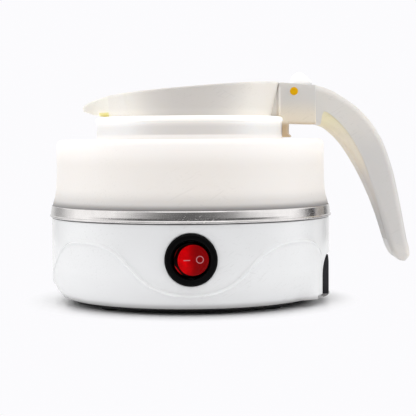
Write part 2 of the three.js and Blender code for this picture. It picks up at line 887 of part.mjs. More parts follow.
function strap() {
  const inner = neckRadius + clearance;
  const outer = inner + strapThickness;
  const shell = solidOf(revolve([
    [inner, strapFootZ],
    [outer + strapLip, strapFootZ],
    [outer + strapLip, strapFootZ + strapLip * 0.6],
    [outer, strapFootZ + strapLip],
    [outer, bracketUnderZ + overrun],
    [inner, bracketUnderZ + overrun],
  ]));
  return shell.intersect(solidOf(box(0, seamX, -bracketHalf, bracketHalf, strapFootZ - overrun, ringFootZ)));
}

const tongueLowZ = bracketUnderZ + tongueUnder;
const handleScrewPlaces = [-1, 1].map((side) => [(tongueX + seamX) / 2, side * handleScrewSpacing]);

function spoutRing() {
  const neckTop = neckTopZ + clearance;
  const neckSpace = solidOf(post(neckRadius + clearance, 0, 0, strapFootZ - overrun, neckTop, roundSegments));
  const pocket = solidOf(box(
    tongueX - clearance,
    seamX + overrun,
    -tongueHalf - clearance,
    tongueHalf + clearance,
    tongueLowZ - clearance,
    tongueLowZ + tongueThickness + clearance,
  ));
  let rear = bracketBody();
  rear = rear.add(strap()).subtract(neckSpace).subtract(pocket);
  handleScrewPlaces.forEach(([x, y]) => {
    const low = bracketUnderZ - overrun;
    const shank = solidOf(post(handleScrewShank + clearance, x, y, low, slotFloorZ - clearance));
    rear = rear.subtract(shank);
  });
  const slotAhead = solidOf(box(bracketX, seamX + overrun, -slotHalf, slotHalf, slotFloorZ, beyond));
  rear = rear.subtract(slotAhead);
  const web = solidOf(box(bracketX - webReach, bracketX + overrun, -webHalf, webHalf, ringFootZ, beyond));
  const webSlot = solidOf(box(0, bracketX + overrun, -slotHalf, slotHalf, webFloorZ, beyond));
  const inside = solidOf(revolve([
    [0, ringFootZ - ringWall],
    [ringFootRadius - ringWall, ringFootZ - ringWall / 2],
    [ringTopRadius - ringWall, ringTopZ],
    [ringTopRadius, beyond],
    [0, beyond],
  ]));
  let ring = solidOf(ringCone());
  ring = ring.add(solidOf(beakBody(0)).subtract(inside));
  ring = ring.subtract(solidOf(beakBody(beakWall)));
  ring = ring.add(web.subtract(inside)).subtract(webSlot).add(rear);
  const pinHole = solidOf(crossRod(pinRadius + clearance, bracketHalf * 4, pinX, 0, pinZ));
  return ring.subtract(pinHole).subtract(aboveRim(0));
}

function hingePin() {
  return crossRod(pinRadius, 2 * bracketHalf, pinX, 0, pinZ);
}

// Lid: a disc that follows the rim's slope, with a skirt below, and an arm back to the pin with a thumb tab

const lidTilt = Math.atan(rimRiseShare);
const lidTopAt = (x) => rimCentreZ + rimRiseShare * x - lidGap;

function lidCover() {
  const t = lidThickness;
  const disc = revolve([
    [0, -t],
    [lidSkirtRadius - lidSkirtWall, -t],
    [lidSkirtRadius - lidSkirtWall, -t - lidSkirtDepth],
    [lidSkirtRadius, -t - lidSkirtDepth],
    [lidSkirtRadius, -t],
    [lidRadius - clearance, -t],
    [lidRadius, -t / 2],
    [lidRadius - clearance, 0],
    [0, 0],
  ]);
  disc.rotateY(-lidTilt).translate(0, 0, rimCentreZ - lidGap);
  const armTop = (x) => lidTopAt(x);
  const armRoot = lidSkirtRadius + sealBead + clearance * 2;
  const armPoints = [
    [lidSkirtRadius, armTop(lidSkirtRadius) - lidThickness],
    [armRoot, armTop(armRoot) - lidThickness],
    [armRoot + clearance, armTop(armRoot) - lidArmThickness],
    [pinX, pinZ - knuckleRadius * 0.6],
    [pinX, pinZ + knuckleRadius * 0.9],
    [bracketX, armTop(bracketX) - clearance],
    [lidSkirtRadius, armTop(lidSkirtRadius)],
  ];
  const notch = box(
    -lidSkirtRadius - overrun,
    -lidSkirtRadius / 2,
    -lidNotchHalf,
    lidNotchHalf,
    -lidThickness - lidSkirtDepth * 2,
    -lidThickness,
  );
  notch.rotateY(-lidTilt).translate(0, 0, rimCentreZ - lidGap);
  const arm = solidOf(slabAcross(armPoints, lidArmHalf));
  const knuckle = solidOf(crossRod(knuckleRadius, 2 * lidArmHalf, pinX, 0, pinZ));
  const tabPoints = [
    [pinX - knuckleRadius * 0.5, pinZ],
    [pinX + knuckleRadius * 0.8, pinZ + knuckleRadius * 0.4],
    [pinX + tabReach, pinZ + tabHeight * 0.4],
    [pinX + tabReach, pinZ + tabHeight * 0.53],
    [pinX + tabReach * 0.78, pinZ + tabHeight * 0.8],
    [pinX + tabReach * 0.45, pinZ + tabHeight * 0.97],
    [pinX + tabReach * 0.08, pinZ + tabHeight],
    [pinX - knuckleRadius * 0.2, pinZ + tabHeight * 0.86],
    [pinX - knuckleRadius * 0.3, pinZ + tabHeight * 0.5],
  ];
  const tab = solidOf(slabAcross(tabPoints, lidArmHalf));
  const hole = solidOf(crossRod(pinRadius + clearance, 4 * lidArmHalf, pinX, 0, pinZ));
  return solidOf(disc).subtract(solidOf(notch)).add(arm).add(knuckle).add(tab).subtract(hole);
}

function lidInnerPlate() {
  const top = -lidThickness - clearance;
  const reach = lidSkirtRadius - lidSkirtWall - clearance;
  const disc = revolve([
    [0, top - innerPlateThickness],
    [reach, top - innerPlateThickness],
    [reach, top],
    [0, top],
  ], hiddenSegments);
  return disc.rotateY(-lidTilt).translate(0, 0, rimCentreZ - lidGap);
}

function lidSeal() {
  const inner = lidSkirtRadius + clearance;
  const low = -lidThickness - clearance - sealBead * 2;
  const ring = revolve([
    [inner, low],
    [inner + sealBead * 0.7, low + sealBead * 0.4],
    [inner + sealBead, low + sealBead],
    [inner + sealBead * 0.7, low + sealBead * 1.6],
    [inner, low + sealBead * 2],
  ]);
  return ring.rotateY(-lidTilt).translate(0, 0, rimCentreZ - lidGap);
}

// Handle: a curved shell with a teardrop window on its inner side, and a grip insert in it

// Outer and inner edge in the side view, as shares of the reach and the drop, station by station.
const handleShares = [
  { outer: [0.006, 0.002], inner: [0.006, 0.22] },
  { outer: [0.105, 0.016], inner: [0.073, 0.229] },
  { outer: [0.23, 0.048], inner: [0.136, 0.247] },
  { outer: [0.472, 0.143], inner: [0.283, 0.324] },
  { outer: [0.66, 0.272], inner: [0.43, 0.447] },
  { outer: [0.803, 0.445], inner: [0.551, 0.577] },
  { outer: [0.906, 0.662], inner: [0.66, 0.724] },
  { outer: [0.975, 0.868], inner: [0.763, 0.878] },
  { outer: [0.999, 0.945], inner: [0.803, 0.931] },
  { outer: [0.992, 0.981], inner: [0.853, 0.968] },
  { outer: [0.962, 0.999], inner: [0.905, 0.993] },
];
// How deep the grip reaches from the inner edge, as shares of the section there.
const gripDepthShares = [0, 0.4, 0.43, 0.36, 0.3, 0.22, 0.13, 0.03, 0, 0, 0];
const handleStations = 26;
// The rows of the two tables that the grip starts and ends at, and the rows over which its end is rounded.
const gripFirstRow = 0.95;
const gripLastRow = 7;
const gripSteps = 18;
const gripRoundedShare = 0.08;
const tipDrawShare = 0.3;

const handlePlace = ([u, v]) => new THREE.Vector3(seamX + handleReach * u, 0, handleTopZ - handleDrop * v);
const handleCurves = ['outer', 'inner'].map((side) => (
  new THREE.CatmullRomCurve3(handleShares.map((row) => handlePlace(row[side])))
));
const depthCurve = new THREE.CatmullRomCurve3(gripDepthShares.map((share, i) => new THREE.Vector3(i, share, 0)));

// A rounded section between the inner and outer edge at one station.
function handleSection(t, inset) {
  const [outer, inner] = handleCurves.map((curve) => curve.getPoint(t));
  const along = outer.clone().sub(inner);
  const depth = along.length();
  along.normalize();
  const tip = THREE.MathUtils.smoothstep(t, 1 - 2 / handleShares.length, 1);
  const half = lerp(handleHalfSeam, handleHalfTip, t) * (1 - tipDrawShare * tip) - inset;
  const edge = Math.min(handleEdge, half * 0.6, depth * 0.4);
  const at = (a, y) => [inner.x + along.x * a, y, inner.z + along.z * a];
  const corners = [
    ...arc(depth - edge, half - edge, edge, 0, 90, cornerSteps),
    ...arc(edge, half - edge, edge, 90, 180, cornerSteps),
    ...arc(edge, edge - half, edge, 180, 270, cornerSteps),
    ...arc(depth - edge, edge - half, edge, 270, 360, cornerSteps),
  ];
  return corners.map(([a, y]) => at(a, y));
}

function handleBody(inset, from, to) {
  const count = Math.round(handleStations * (to - from));
  return loft(Array.from({ length: count + 1 }, (_, i) => handleSection(lerp(from, to, i / count), inset)));
}

// The region of the side view that the grip fills, moved in from its upper edge by a clearance.
function gripRegion(gap) {
  const rows = handleShares.length - 1;
  const first = (gripFirstRow + gap * 2 / (handleDrop / rows)) / rows;
  const last = gripLastRow / rows;
  const count = gripSteps;
  const edge = Array.from({ length: count + 1 }, (_, i) => {
    const t = lerp(first, last, i / count);
    const [outer, inner] = handleCurves.map((curve) => curve.getPoint(t));
    const ends = Math.min(1, i / count / gripRoundedShare);
    const share = Math.max(0, depthCurve.getPoint(t).y) * ends;
    const along = outer.clone().sub(inner);
    const place = inner.clone().addScaledVector(along, share).addScaledVector(along.normalize(), -gap);
    return [place.x, place.z];
  });
  const open = Array.from({ length: count + 1 }, (_, i) => {
    const t = lerp(last, first, i / count);
    const [outer, inner] = handleCurves.map((curve) => curve.getPoint(t));
    const place = inner.clone().addScaledVector(outer.sub(inner).normalize(), -overrun);
    return [place.x, place.z];
  });
  return solidOf(slabAcross([...edge, ...open], bracketHalf + overrun));
}

function handleShell() {
  let shell = solidOf(handleBody(0, 0, 1));
  const tongue = solidOf(box(
    tongueX,
    seamX + handleEdge * 2,
    -tongueHalf,
    tongueHalf,
    tongueLowZ,
    tongueLowZ + tongueThickness,
  ));
  shell = shell.add(tongue).subtract(gripRegion(0));
  handleScrewPlaces.forEach(([x, y]) => {
    const top = tongueLowZ + tongueThickness + overrun;
    shell = shell.subtract(solidOf(post(handleScrewShank + clearance, x, y, tongueLowZ - overrun, top)));
  });
  return shell;
}

function handleInsert() {
  return solidOf(handleBody(gripInset, 0, 1)).intersect(gripRegion(gripClearance));
}

// Rocker switch

function switchBody() {
  const front = bezelThickness;
  const body = revolve([
    [0, -switchDepth],
    [switchBodyRadius, -switchDepth],
    [switchBodyRadius, 0],
    [bezelRadius, 0],
    [bezelRadius, front - bezelEdge],
    [bezelRadius - bezelEdge, front],
    [windowRadius + bezelEdge, front],
    [windowRadius, front - bezelEdge],
    [windowRadius, front - windowDepth],
    [0, front - windowDepth],
  ], hiddenSegments);
  const bore = crossRod(axleRadius + clearance, 2 * (windowRadius + axleReach + clearance), 0, 0, 0);
  bore.translate(0, 0, front - rockerPivotDepth);
  return solidOf(body).subtract(solidOf(bore));
}

// The button with a hollowed face, its back rounded about the axle, and the two stubs of the axle
function rockerButton() {
  const button = rod(rockerRadius, rockerCrown + rockerBack, hiddenSegments);
  const disc = solidOf(button.translate(0, 0, (rockerCrown - rockerBack) / 2));
  const hollowZ = rockerFrontRadius + rockerCrown - clearance * 2;
  const hollow = crossRod(rockerFrontRadius, rockerRadius * 3, 0, 0, hollowZ, hollowSegments);
  const barrel = crossRod(rockerRadius + clearance, rockerRadius * 3, 0, 0, 0, hiddenSegments);
  const face = box(-rockerRadius, rockerRadius, -rockerRadius, rockerRadius, 0, rockerCrown);
  const axle = crossRod(axleRadius, 2 * (windowRadius + axleReach - clearance), 0, 0, 0);
  const round = solidOf(barrel).add(solidOf(face));
  return disc.intersect(round).subtract(solidOf(hollow)).add(solidOf(axle));
}

const terminalPlaces = [-1, 1].map((side) => side * terminalSpacing / 2);

function switchTerminal() {
  const half = terminalWidth / 2;
  return box(-half, half, -terminalThickness / 2, terminalThickness / 2, -terminalLength, 0);
}

// Mains inlet with three blades

function inletBody() {
  const flange = solidOf(slabForward(inletOutline(0), inletFaceX - inletFlange, inletFaceX));
  const margin = -inletFlangeMargin;
  const sleeve = solidOf(slabForward(inletOutline(margin), inletFaceX - inletDepth, inletFaceX - inletFlange / 2));
  const hollow = slabForward(
    inletOutline(margin - inletWall),
    inletFaceX - inletDepth + inletFloor,
    inletFaceX + overrun,
  );
  let body = flange.add(sleeve).subtract(solidOf(hollow));
  contactPlaces.forEach(([y, z]) => {
    const slit = box(
      0,
      inletFaceX - inletDepth + inletFloor + overrun,
      y - contactThickness / 2 - clearance,
      y + contactThickness / 2 + clearance,
      z - contactWidth / 2 - clearance,
      z + contactWidth / 2 + clearance,
    );
    body = body.subtract(solidOf(slit));
  });
  return body;
}

const contactPlaces = [
  [-contactSpacing, inletMidZ - contactRaise],
  [0, inletMidZ + contactRaise],
  [contactSpacing, inletMidZ - contactRaise],
];
const contactBackX = inletFaceX - inletDepth - contactTail;

function inletContact([y, z]) {
  const front = inletFaceX - inletDepth + inletFloor + contactLength;
  return box(
    contactBackX,
    front,
    y - contactThickness / 2,
    y + contactThickness / 2,
    z - contactWidth / 2,
    z + contactWidth / 2,
  );
}

// Heater parts below the pan

const spreaderZ = panFloorZ - clearance - spreaderThickness;
const elementZ = spreaderZ - clearance * 2 - elementRadius;

function heatSpreader() {
  return revolve([
    [0, spreaderZ],
    [spreaderRadius, spreaderZ],
    [spreaderRadius, spreaderZ + spreaderThickness],
    [0, spreaderZ + spreaderThickness],
  ], hiddenSegments);
}

function heatingElement() {
  const from = elementGapAngle / 2 + 90;
  const to = 450 - elementGapAngle / 2;
  const turns = [from + elementBendAngle, to - elementBendAngle];
  const ring = arc(0, 0, elementCircle, ...turns, smallSegments).map(([x, y]) => [x, y, elementZ]);
  const [start] = arc(0, 0, elementCircle, from, from, 1);
  const [end] = arc(0, 0, elementCircle, to, to, 1);
  const low = elementZ - elementDrop;
  const bend = elementZ - elementRadius;
  const path = [[...start, low], [...start, bend], ...ring, [...end, bend], [...end, low]];
  return tube(path, elementRadius, elementSteps, elementSides);
}

function thermostat() {
  const top = spreaderZ - clearance;
  return revolve([
    [0, top - thermostatHeight],
    [thermostatRadius * 0.75, top - thermostatHeight],
    [thermostatRadius * 0.75, top - thermostatHeight / 2],
    [thermostatRadius, top - thermostatHeight / 2],
    [thermostatRadius, top],
    [0, top],
  ], smallSegments);
}

function thermalFuse() {
  return crossRod(fuseRadius, fuseLength, fuseX, 0, spreaderZ - clearance - fuseRadius);
}

function terminalBlock() {
  const low = plateTopZ + clearance;
  const half = blockWidth / 2;
  const [front, back] = [blockY - blockDepth / 2, blockY + blockDepth / 2];
  let block = solidOf(box(blockX - half, blockX + half, front, back, low, low + blockHeight));
  [-1, 0, 1].forEach((step) => {
    const x = blockX + step * blockWidth / 3;
    const well = post(screwShank, x, blockY, low + blockHeight / 2, low + blockHeight + overrun);
    block = block.subtract(solidOf(well));
  });
  return block;
}

// Wires, each from one terminal to the next

const contactEnd = ([y, z]) => [contactBackX - clearance, y, z];
const switchBackY = -switchFaceRadius + switchDepth + terminalLength;
const switchEnd = (x) => [x, switchBackY + clearance, switchZ];
const blockEnd = [blockX + blockWidth / 2 + clearance, blockY, plateTopZ + clearance + blockHeight / 2];
const elementEnds = [-1, 1].map((side) => {
  const angle = degrees(90 - side * elementGapAngle / 2);
  return [elementCircle * Math.cos(angle), elementCircle * Math.sin(angle), elementZ - elementDrop - clearance];
});

// A wire leaves each of its two ends straight, along a direction, and bends smoothly between them.
function wire(from, fromAlong, to, toAlong) {
  const lead = (place, along, reach) => place.map((value, k) => value + along[k] * reach);
  const path = [
    from,
    lead(from, fromAlong, wireRadius),
    lead(from, fromAlong, wireLead),
    lead(to, toAlong, wireLead),
    lead(to, toAlong, wireRadius),
    to,
  ];
  return tube(path, wireRadius, wireSteps, wireSides);
}

// Assembly: the base stays put, the upper group rises on the silicone, and the lid turns on the upper group's pin

const base = new THREE.Group();
const upper = new THREE.Group();
const lid = new THREE.Group();
kettle.add(base, upper);
upper.add(lid);

add(base, 'base_plate', basePlate(), blackPlastic);
footPlaces.forEach(([x, y], i) => add(base, `foot_${i + 1}`, foot(), blackRubber).position.set(x, y, 0));
screwPlaces.forEach(([x, y], i) => {
  const made = screw(screwHead, screwHeadHeight, screwShank, screwLength);
  add(base, `base_screw_${i + 1}`, made, steel).position.set(x, y, screwHeadDepth);
});
add(base, 'housing_shell', housingShell(), whiteGloss);
add(base, 'steel_pan', steelPan(), steel);
add(base, 'steel_band', steelBand(), brightSteel);
add(base, 'clamp_ring', clampRing(), steel);
add(base, 'silicone_lower_tier', siliconeLowerTier(), siliconeWhite);
add(base, 'silicone_fold_tier', siliconeFoldTier(), siliconeWhite);
add(base, 'heat_spreader', heatSpreader(), castAluminium);
add(base, 'heating_element', heatingElement(), steel);
add(base, 'thermostat', thermostat(), ceramicWhite);
add(base, 'thermal_fuse', thermalFuse(), ceramicWhite);
add(base, 'terminal_block', terminalBlock(), ceramicWhite);

const switchGroup = new THREE.Group();
switchGroup.position.set(0, -switchFaceRadius - clearance, switchZ);
switchGroup.rotation.x = Math.PI / 2;
base.add(switchGroup);
add(switchGroup, 'switch_body', switchBody(), blackPlastic);
terminalPlaces.forEach((x, i) => {
  add(switchGroup, `switch_terminal_${i + 1}`, switchTerminal(), brass).position.set(x, 0, -switchDepth - clearance);
});
const rocker = add(switchGroup, 'rocker_button', rockerButton(), redLens);
rocker.position.z = bezelThickness - rockerPivotDepth;
rocker.rotation.y = degrees(rockerTilt);

add(base, 'inlet_body', inletBody(), blackPlastic);
['line', 'earth', 'neutral'].forEach((role, i) => {
  add(base, `inlet_contact_${role}`, inletContact(contactPlaces[i]), brass);
});
const inward = [-1, 0, 0];
const backward = [0, 1, 0];
const downward = [0, 0, -1];
const [lineContact, earthContact, neutralContact] = contactPlaces.map(contactEnd);
const [lineOut, lineIn] = terminalPlaces.map(switchEnd);
add(base, 'wire_line_in', wire(lineContact, inward, lineIn, backward), brownWire);
add(base, 'wire_line_out', wire(lineOut, backward, elementEnds[0], downward), brownWire);
add(base, 'wire_neutral', wire(neutralContact, inward, blockEnd, [1, 0, 0]), blueWire);
add(base, 'wire_earth', wire(earthContact, inward, elementEnds[1], downward), greenWire);

add(upper, 'silicone_neck_tier', siliconeNeckTier(), siliconeWhite);
add(upper, 'spout_ring', spoutRing(), warmWhite);
add(upper, 'hinge_pin', hingePin(), yellowPin);
add(upper, 'handle_shell', handleShell(), warmWhite);
add(upper, 'handle_insert', handleInsert(), creamGrip);
handleScrewPlaces.forEach(([x, y], i) => {
  const length = tongueUnder + tongueThickness + clearance;
  const made = screw(handleScrewHead, tongueUnder / 2, handleScrewShank, length + tongueUnder / 2);
  const place = bracketUnderZ - tongueUnder / 2 - clearance;
  add(upper, `handle_screw_${i + 1}`, made, steel).position.set(x, y, place);
});

add(lid, 'lid_cover', lidCover(), warmWhite);
add(lid, 'lid_inner_plate', lidInnerPlate(), warmWhite);
add(lid, 'lid_seal', lidSeal(), siliconeWhite);

export default kettle;
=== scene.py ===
"""Collapsible travel kettle, folded flat on a white studio floor.

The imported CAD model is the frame, in metres. Sizes below are in millimetres, in the same frame: the origin is
the centre of the base plate's underside, +Z is up, +X points to the handle and -Y to the switch.
"""

import math

import bmesh
import bpy
import numpy as np
from bpy.props import FloatProperty, FloatVectorProperty, PointerProperty
from mathutils import Matrix, Vector


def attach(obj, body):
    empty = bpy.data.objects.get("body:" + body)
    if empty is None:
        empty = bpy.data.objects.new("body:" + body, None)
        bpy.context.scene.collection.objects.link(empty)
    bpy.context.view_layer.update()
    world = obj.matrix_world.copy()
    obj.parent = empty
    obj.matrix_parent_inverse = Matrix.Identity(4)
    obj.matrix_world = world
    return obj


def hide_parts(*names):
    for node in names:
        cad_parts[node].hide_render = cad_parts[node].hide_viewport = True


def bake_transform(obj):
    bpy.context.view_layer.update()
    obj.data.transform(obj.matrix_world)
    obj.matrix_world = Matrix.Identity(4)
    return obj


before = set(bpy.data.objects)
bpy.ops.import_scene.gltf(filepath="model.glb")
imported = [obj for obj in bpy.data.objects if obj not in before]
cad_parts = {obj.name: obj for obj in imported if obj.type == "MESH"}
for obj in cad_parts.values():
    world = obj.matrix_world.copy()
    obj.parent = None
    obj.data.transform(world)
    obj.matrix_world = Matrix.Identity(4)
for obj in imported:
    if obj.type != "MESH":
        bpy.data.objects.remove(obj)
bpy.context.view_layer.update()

bl_info = {
    "name": "Collapsible Kettle",
    "version": (1, 0, 0),
    "blender": (4, 5, 0),
    "location": "View3D > Sidebar > Kettle",
    "description": "Builds the looks of a collapsible travel kettle around its packed CAD frame",
    "category": "Add Mesh",
}

MM = 0.001

# Heights and radii that several pieces share, in millimetres

HOUSING_FOOT_Z = 2.0
HOUSING_TOP_Z = 40.7
HOUSING_MID_RADIUS = 69.2
HOUSING_TOP_RADIUS = 69.0
HOUSING_FOOT_RADIUS = 63.9
PLATE_RADIUS = 60.3
FOOT_CIRCLE = 53.2
FOOT_ANGLE = 45.0
SCREW_ANGLE = 22.5
FOLD_TOP_Z = 78.0
FOLD_BOTTOM_Z = 53.7
RING_FOOT_Z = 90.3
RING_FOOT_RADIUS = 41.1
RING_SLOPE = 0.2394
RING_WALL = 2.2
BEAK_WALL = 1.5
RIM_Z = 103.7
RIM_RISE = 0.076
PIN_PLACE = (51.0, 102.2)
FORK_BORE_RADIUS = 1.95
LID_BORE_RADIUS = 2.4
GRIP_SCREW_X = 56.0
GRIP_SCREW_SIDES = (-5.0, 5.0)
NECK_ROOM_RADIUS = 46.7
SEAM_X = 61.5
BRACKET_HALF = 12.0
LID_LEVEL = RIM_Z - 0.5
LID_TILT = math.atan(RIM_RISE)
SWITCH_PLACE = (0.0, -68.6, 24.9)
INLET_FACE_X = 67.85
POCKET_FLOOR_X = 62.6


def colour(name, description, default):
    return FloatVectorProperty(
        name=name, description=description, default=default, min=0, max=1, subtype="COLOR")


def length(name, description, default, most):
    """A length whose default and limit are given in millimetres."""
    return FloatProperty(
        name=name, description=description, default=default * MM, min=0, max=most * MM, unit="LENGTH")


def angle(name, description, degrees):
    return FloatProperty(name=name, description=description, default=math.radians(degrees), subtype="ANGLE")


def strength(name, description, default):
    return FloatProperty(name=name, description=description, default=default, min=0)


class KettleColours(bpy.types.PropertyGroup):
    """Base colours of the finishes."""

    housing: colour("Housing", "Glossy white of the heating base", (0.865, 0.87, 0.88))
    ring: colour("Ring and handle", "Satin warm white of the ring, lid and handle", (0.82, 0.795, 0.765))
    # The silicone's colour is dim: its materials add a painted glow for the rest of its light.
    silicone: colour("Silicone", "Off-white of the folding body", (0.58, 0.565, 0.555))
    # Painted shade: the insert is white like the handle, painted cream for the shade it lies in.
    grip: colour("Grip", "Cream of the insert in the handle", (0.95, 0.865, 0.58))
    rocker: colour("Rocker", "Red of the switch's button", (0.66, 0.0, 0.002))
    black: colour("Black", "Black of the base plate and switch", (0.002, 0.002, 0.0023))
    pin: colour("Pin", "Golden yellow of the hinge pin", (0.92, 0.54, 0.005))


class KettleSizes(bpy.types.PropertyGroup):
    """Sizes of the fine detail."""

    wave_proud: length("Wave", "How far the wave on the housing stands proud", 1.5, 3.0)
    ring_bead: length("Neck bead", "How far the bead at the neck's top stands proud", 0.5, 2.0)
    mark_stroke: length("Mark stroke", "Line width of the two marks on the rocker", 0.42, 2.0)


class KettleStage(bpy.types.PropertyGroup):
    """The camera and the light."""

    eye: FloatVectorProperty(
        name="Eye", description="Where the camera stands", default=(0, -0.630, 0.0785),
        unit="LENGTH", subtype="XYZ")
    lens: FloatProperty(
        name="Lens", description="Focal length in millimetres", default=108.9, min=20, max=400)
    pitch: angle("Pitch", "How far the camera looks down", 3.09)
    turn: angle("Turn", "How far the camera looks to the right", 0.79)
    roll: angle("Roll", "How far the picture leans", -0.35)
    side_light: strength("Side lights", "Power of each side softbox in watts", 2.8)
    top_light: strength("Top light", "Power of the overhead softbox in watts", 3.2)
    surround: strength("Surround", "Strength of the studio's walls", 1.23)


# Mesh making. Points are in millimetres, and the meshes in metres.


def smooth_step(value, low, high):
    share = np.clip((value - low) / (high - low), 0, 1)
    return share * share * (3 - 2 * share)


def angles_of(count):
    """Evenly spaced angles round a circle."""
    return np.arange(count) * (2 * math.pi / count)


def circle(radius, count, centre=(0.0, 0.0), start=0.0):
    """Evenly spaced points round a circle, from an angle in degrees."""
    turns = angles_of(count) + math.radians(start)
    return [(centre[0] + radius * math.cos(a), centre[1] + radius * math.sin(a)) for a in turns]


def rounded(corners, steps=4):
    """A closed outline with each corner (x, y, radius) rounded by an arc."""
    points = []
    for i, (x, y, radius) in enumerate(corners):
        here = Vector((x, y))
        back = Vector(corners[i - 1][:2]) - here
        ahead = Vector(corners[(i + 1) % len(corners)][:2]) - here
        reach = min(back.length, ahead.length) * 0.49
        back.normalize()
        ahead.normalize()
        half = back.angle(ahead) / 2 if radius > 0 else math.pi / 2
        if half > math.pi / 2 - 1e-3:
            points.append((x, y))
            continue
        cut = min(radius / math.tan(half), reach)
        centre = here + (back + ahead).normalized() * (cut / math.cos(half))
        first = here + back * cut - centre
        last = here + ahead * cut - centre
        sweep = math.atan2(first.x * last.y - first.y * last.x, first.dot(last))
        for k in range(steps + 1):
            c, s = math.cos(sweep * k / steps), math.sin(sweep * k / steps)
            points.append((centre.x + first.x * c - first.y * s, centre.y + first.x * s + first.y * c))
    return points


def piece_from(name, points, faces):
    """A named object from points in millimetres, with faces turned outwards and doubled points merged."""
    mesh = bpy.data.meshes.new(name)
    mesh.from_pydata((np.asarray(points, float) * MM).tolist(), [], faces)
    work = bmesh.new()
    work.from_mesh(mesh)
    bmesh.ops.remove_doubles(work, verts=work.verts, dist=1e-7)
    bmesh.ops.dissolve_degenerate(work, edges=work.edges, dist=1e-8)
    bmesh.ops.recalc_face_normals(work, faces=work.faces)
    work.to_mesh(mesh)
    work.free()
    made = bpy.data.objects.new(name, mesh)
    bpy.context.scene.collection.objects.link(made)
    return made


def skin(name, rows, ends="capped"):
    """A closed surface over rows of points, each row a ring. Its ends are "capped", a "point" or a "loop"."""
    rows = np.asarray(rows, float)
    count, width = rows.shape[:2]
    faces = []
    for i in range(count if ends == "loop" else count - 1):
        below, above = i * width, ((i + 1) % count) * width
        for j in range(width):
            k = (j + 1) % width
            faces.append((below + j, below + k, above + k, above + j))
    if ends == "capped":
        faces.append(tuple(range(width - 1, -1, -1)))
        faces.append(tuple((count - 1) * width + j for j in range(width)))
    return piece_from(name, rows.reshape(-1, 3), faces)


def round_rows(turns, places):
    """A row of points round the axis for each radius and height, which may differ along the row."""
    return [np.stack([r * np.cos(turns), r * np.sin(turns), z + 0 * turns], 1) for r, z in places]


def turned(name, profile, segments=192):
    """A solid of revolution about Z, from a closed outline of (radius, z)."""
    on_axis = profile[0][0] == 0 and profile[-1][0] == 0
    return skin(name, round_rows(angles_of(segments), profile), "point" if on_axis else "loop")


def drawn_in(outline, by):
    """An outline moved inwards."""
    points = np.array(outline, float)
    before, after = points - np.roll(points, 1, 0), np.roll(points, -1, 0) - points
    area = np.sum(points[:, 0] * np.roll(points, -1, 0)[:, 1] - points[:, 1] * np.roll(points, -1, 0)[:, 0])
    sides = []
    for edge in (before, after):
        out = np.stack([edge[:, 1], -edge[:, 0]], 1) * np.sign(area)
        sides.append(out / np.maximum(np.linalg.norm(out, axis=1, keepdims=True), 1e-9))
    mitre = sides[0] + sides[1]
    mitre /= np.maximum(np.linalg.norm(mitre, axis=1, keepdims=True), 1e-9)
    return points - mitre * by / np.maximum(np.sum(mitre * sides[0], axis=1, keepdims=True), 0.4)


def prism(name, outline, along, low, high, edge=0.0, steps=3):
    """An outline, in the other two axes in order, made solid along an axis, with rounded ends."""
    places = {"X": lambda u, v, d: (d, u, v), "Y": lambda u, v, d: (u, d, v),
              "Z": lambda u, v, d: (u, v, d)}[along]
    ends = [(0.0, 0.0)]
    if edge:
        turns = [math.pi / 2 * k / steps for k in range(steps + 1)]
        ends = [(edge * (1 - math.cos(t)), edge * (1 - math.sin(t))) for t in turns]
    levels = [(low + depth, inset) for depth, inset in ends]
    levels += [(high - depth, inset) for depth, inset in reversed(ends)]
    return skin(name, [[places(u, v, d) for u, v in drawn_in(outline, inset)] for d, inset in levels])


def block(name, low, high):
    """A box between two corners."""
    (x0, y0, z0), (x1, y1, z1) = low, high
    return prism(name, [(x0, y0), (x1, y0), (x1, y1), (x0, y1)], "Z", z0, z1)


def rod(name, radius, along, centre, low, high, segments=64):
    """A round rod along an axis. The centre is in the other two axes, in order."""
    return prism(name, circle(radius, segments, centre), along, low, high)


def shifted(x, y, z):
    """A move by millimetres."""
    return Matrix.Translation(Vector((x, y, z)) * MM)


def settle(piece):
    """Applies a piece's modifiers."""
    graph = bpy.context.evaluated_depsgraph_get()
    mesh = bpy.data.meshes.new_from_object(piece.evaluated_get(graph))
    if not mesh.polygons:
        raise RuntimeError(f"{piece.name}: nothing is left of its mesh")
    old = piece.data
    piece.modifiers.clear()
    piece.data = mesh
    bpy.data.meshes.remove(old)


def volume(piece):
    """The volume of a piece in cubic millimetres."""
    mesh = bmesh.new()
    mesh.from_mesh(piece.data)
    size = abs(mesh.calc_volume(signed=True)) / MM ** 3
    mesh.free()
    return size


def carve(piece, tool, how="DIFFERENCE"):
    """Joins a tool to a piece, cuts it away or keeps what both share, and deletes the tool."""
    before, other = volume(piece), volume(tool)
    modifier = piece.modifiers.new("carve", "BOOLEAN")
    modifier.operation = how
    modifier.solver = "EXACT"
    modifier.object = tool
    settle(piece)
    low = {"UNION": max(before, other), "DIFFERENCE": before - other, "INTERSECT": 0.0}[how]
    high = {"UNION": before + other, "DIFFERENCE": before, "INTERSECT": min(before, other)}[how]
    if not low * 0.998 - 1 <= volume(piece) <= high * 1.002 + 1:
        raise RuntimeError(f"{piece.name}: joining or cutting {tool.name} failed")
    bpy.data.objects.remove(tool)
    return piece


FINISHES = {}


def dress(piece, body, slot, nodes=(), finish=None, sharp=40, even=False):
    """Gives a piece its finish, and seats it on its body in the place of the CAD nodes that it stands for."""
    piece.data.materials.clear()
    piece.data.materials.append(FINISHES[finish or slot])
    piece.data.shade_smooth()
    piece.data.set_sharp_from_angle(angle=math.radians(sharp))
    if even:
        modifier = piece.modifiers.new("even", "WEIGHTED_NORMAL")
        modifier.keep_sharp = True
        modifier.weight = 80
        settle(piece)
    if body:
        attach(piece, body)
    if nodes:
        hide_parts(*nodes)


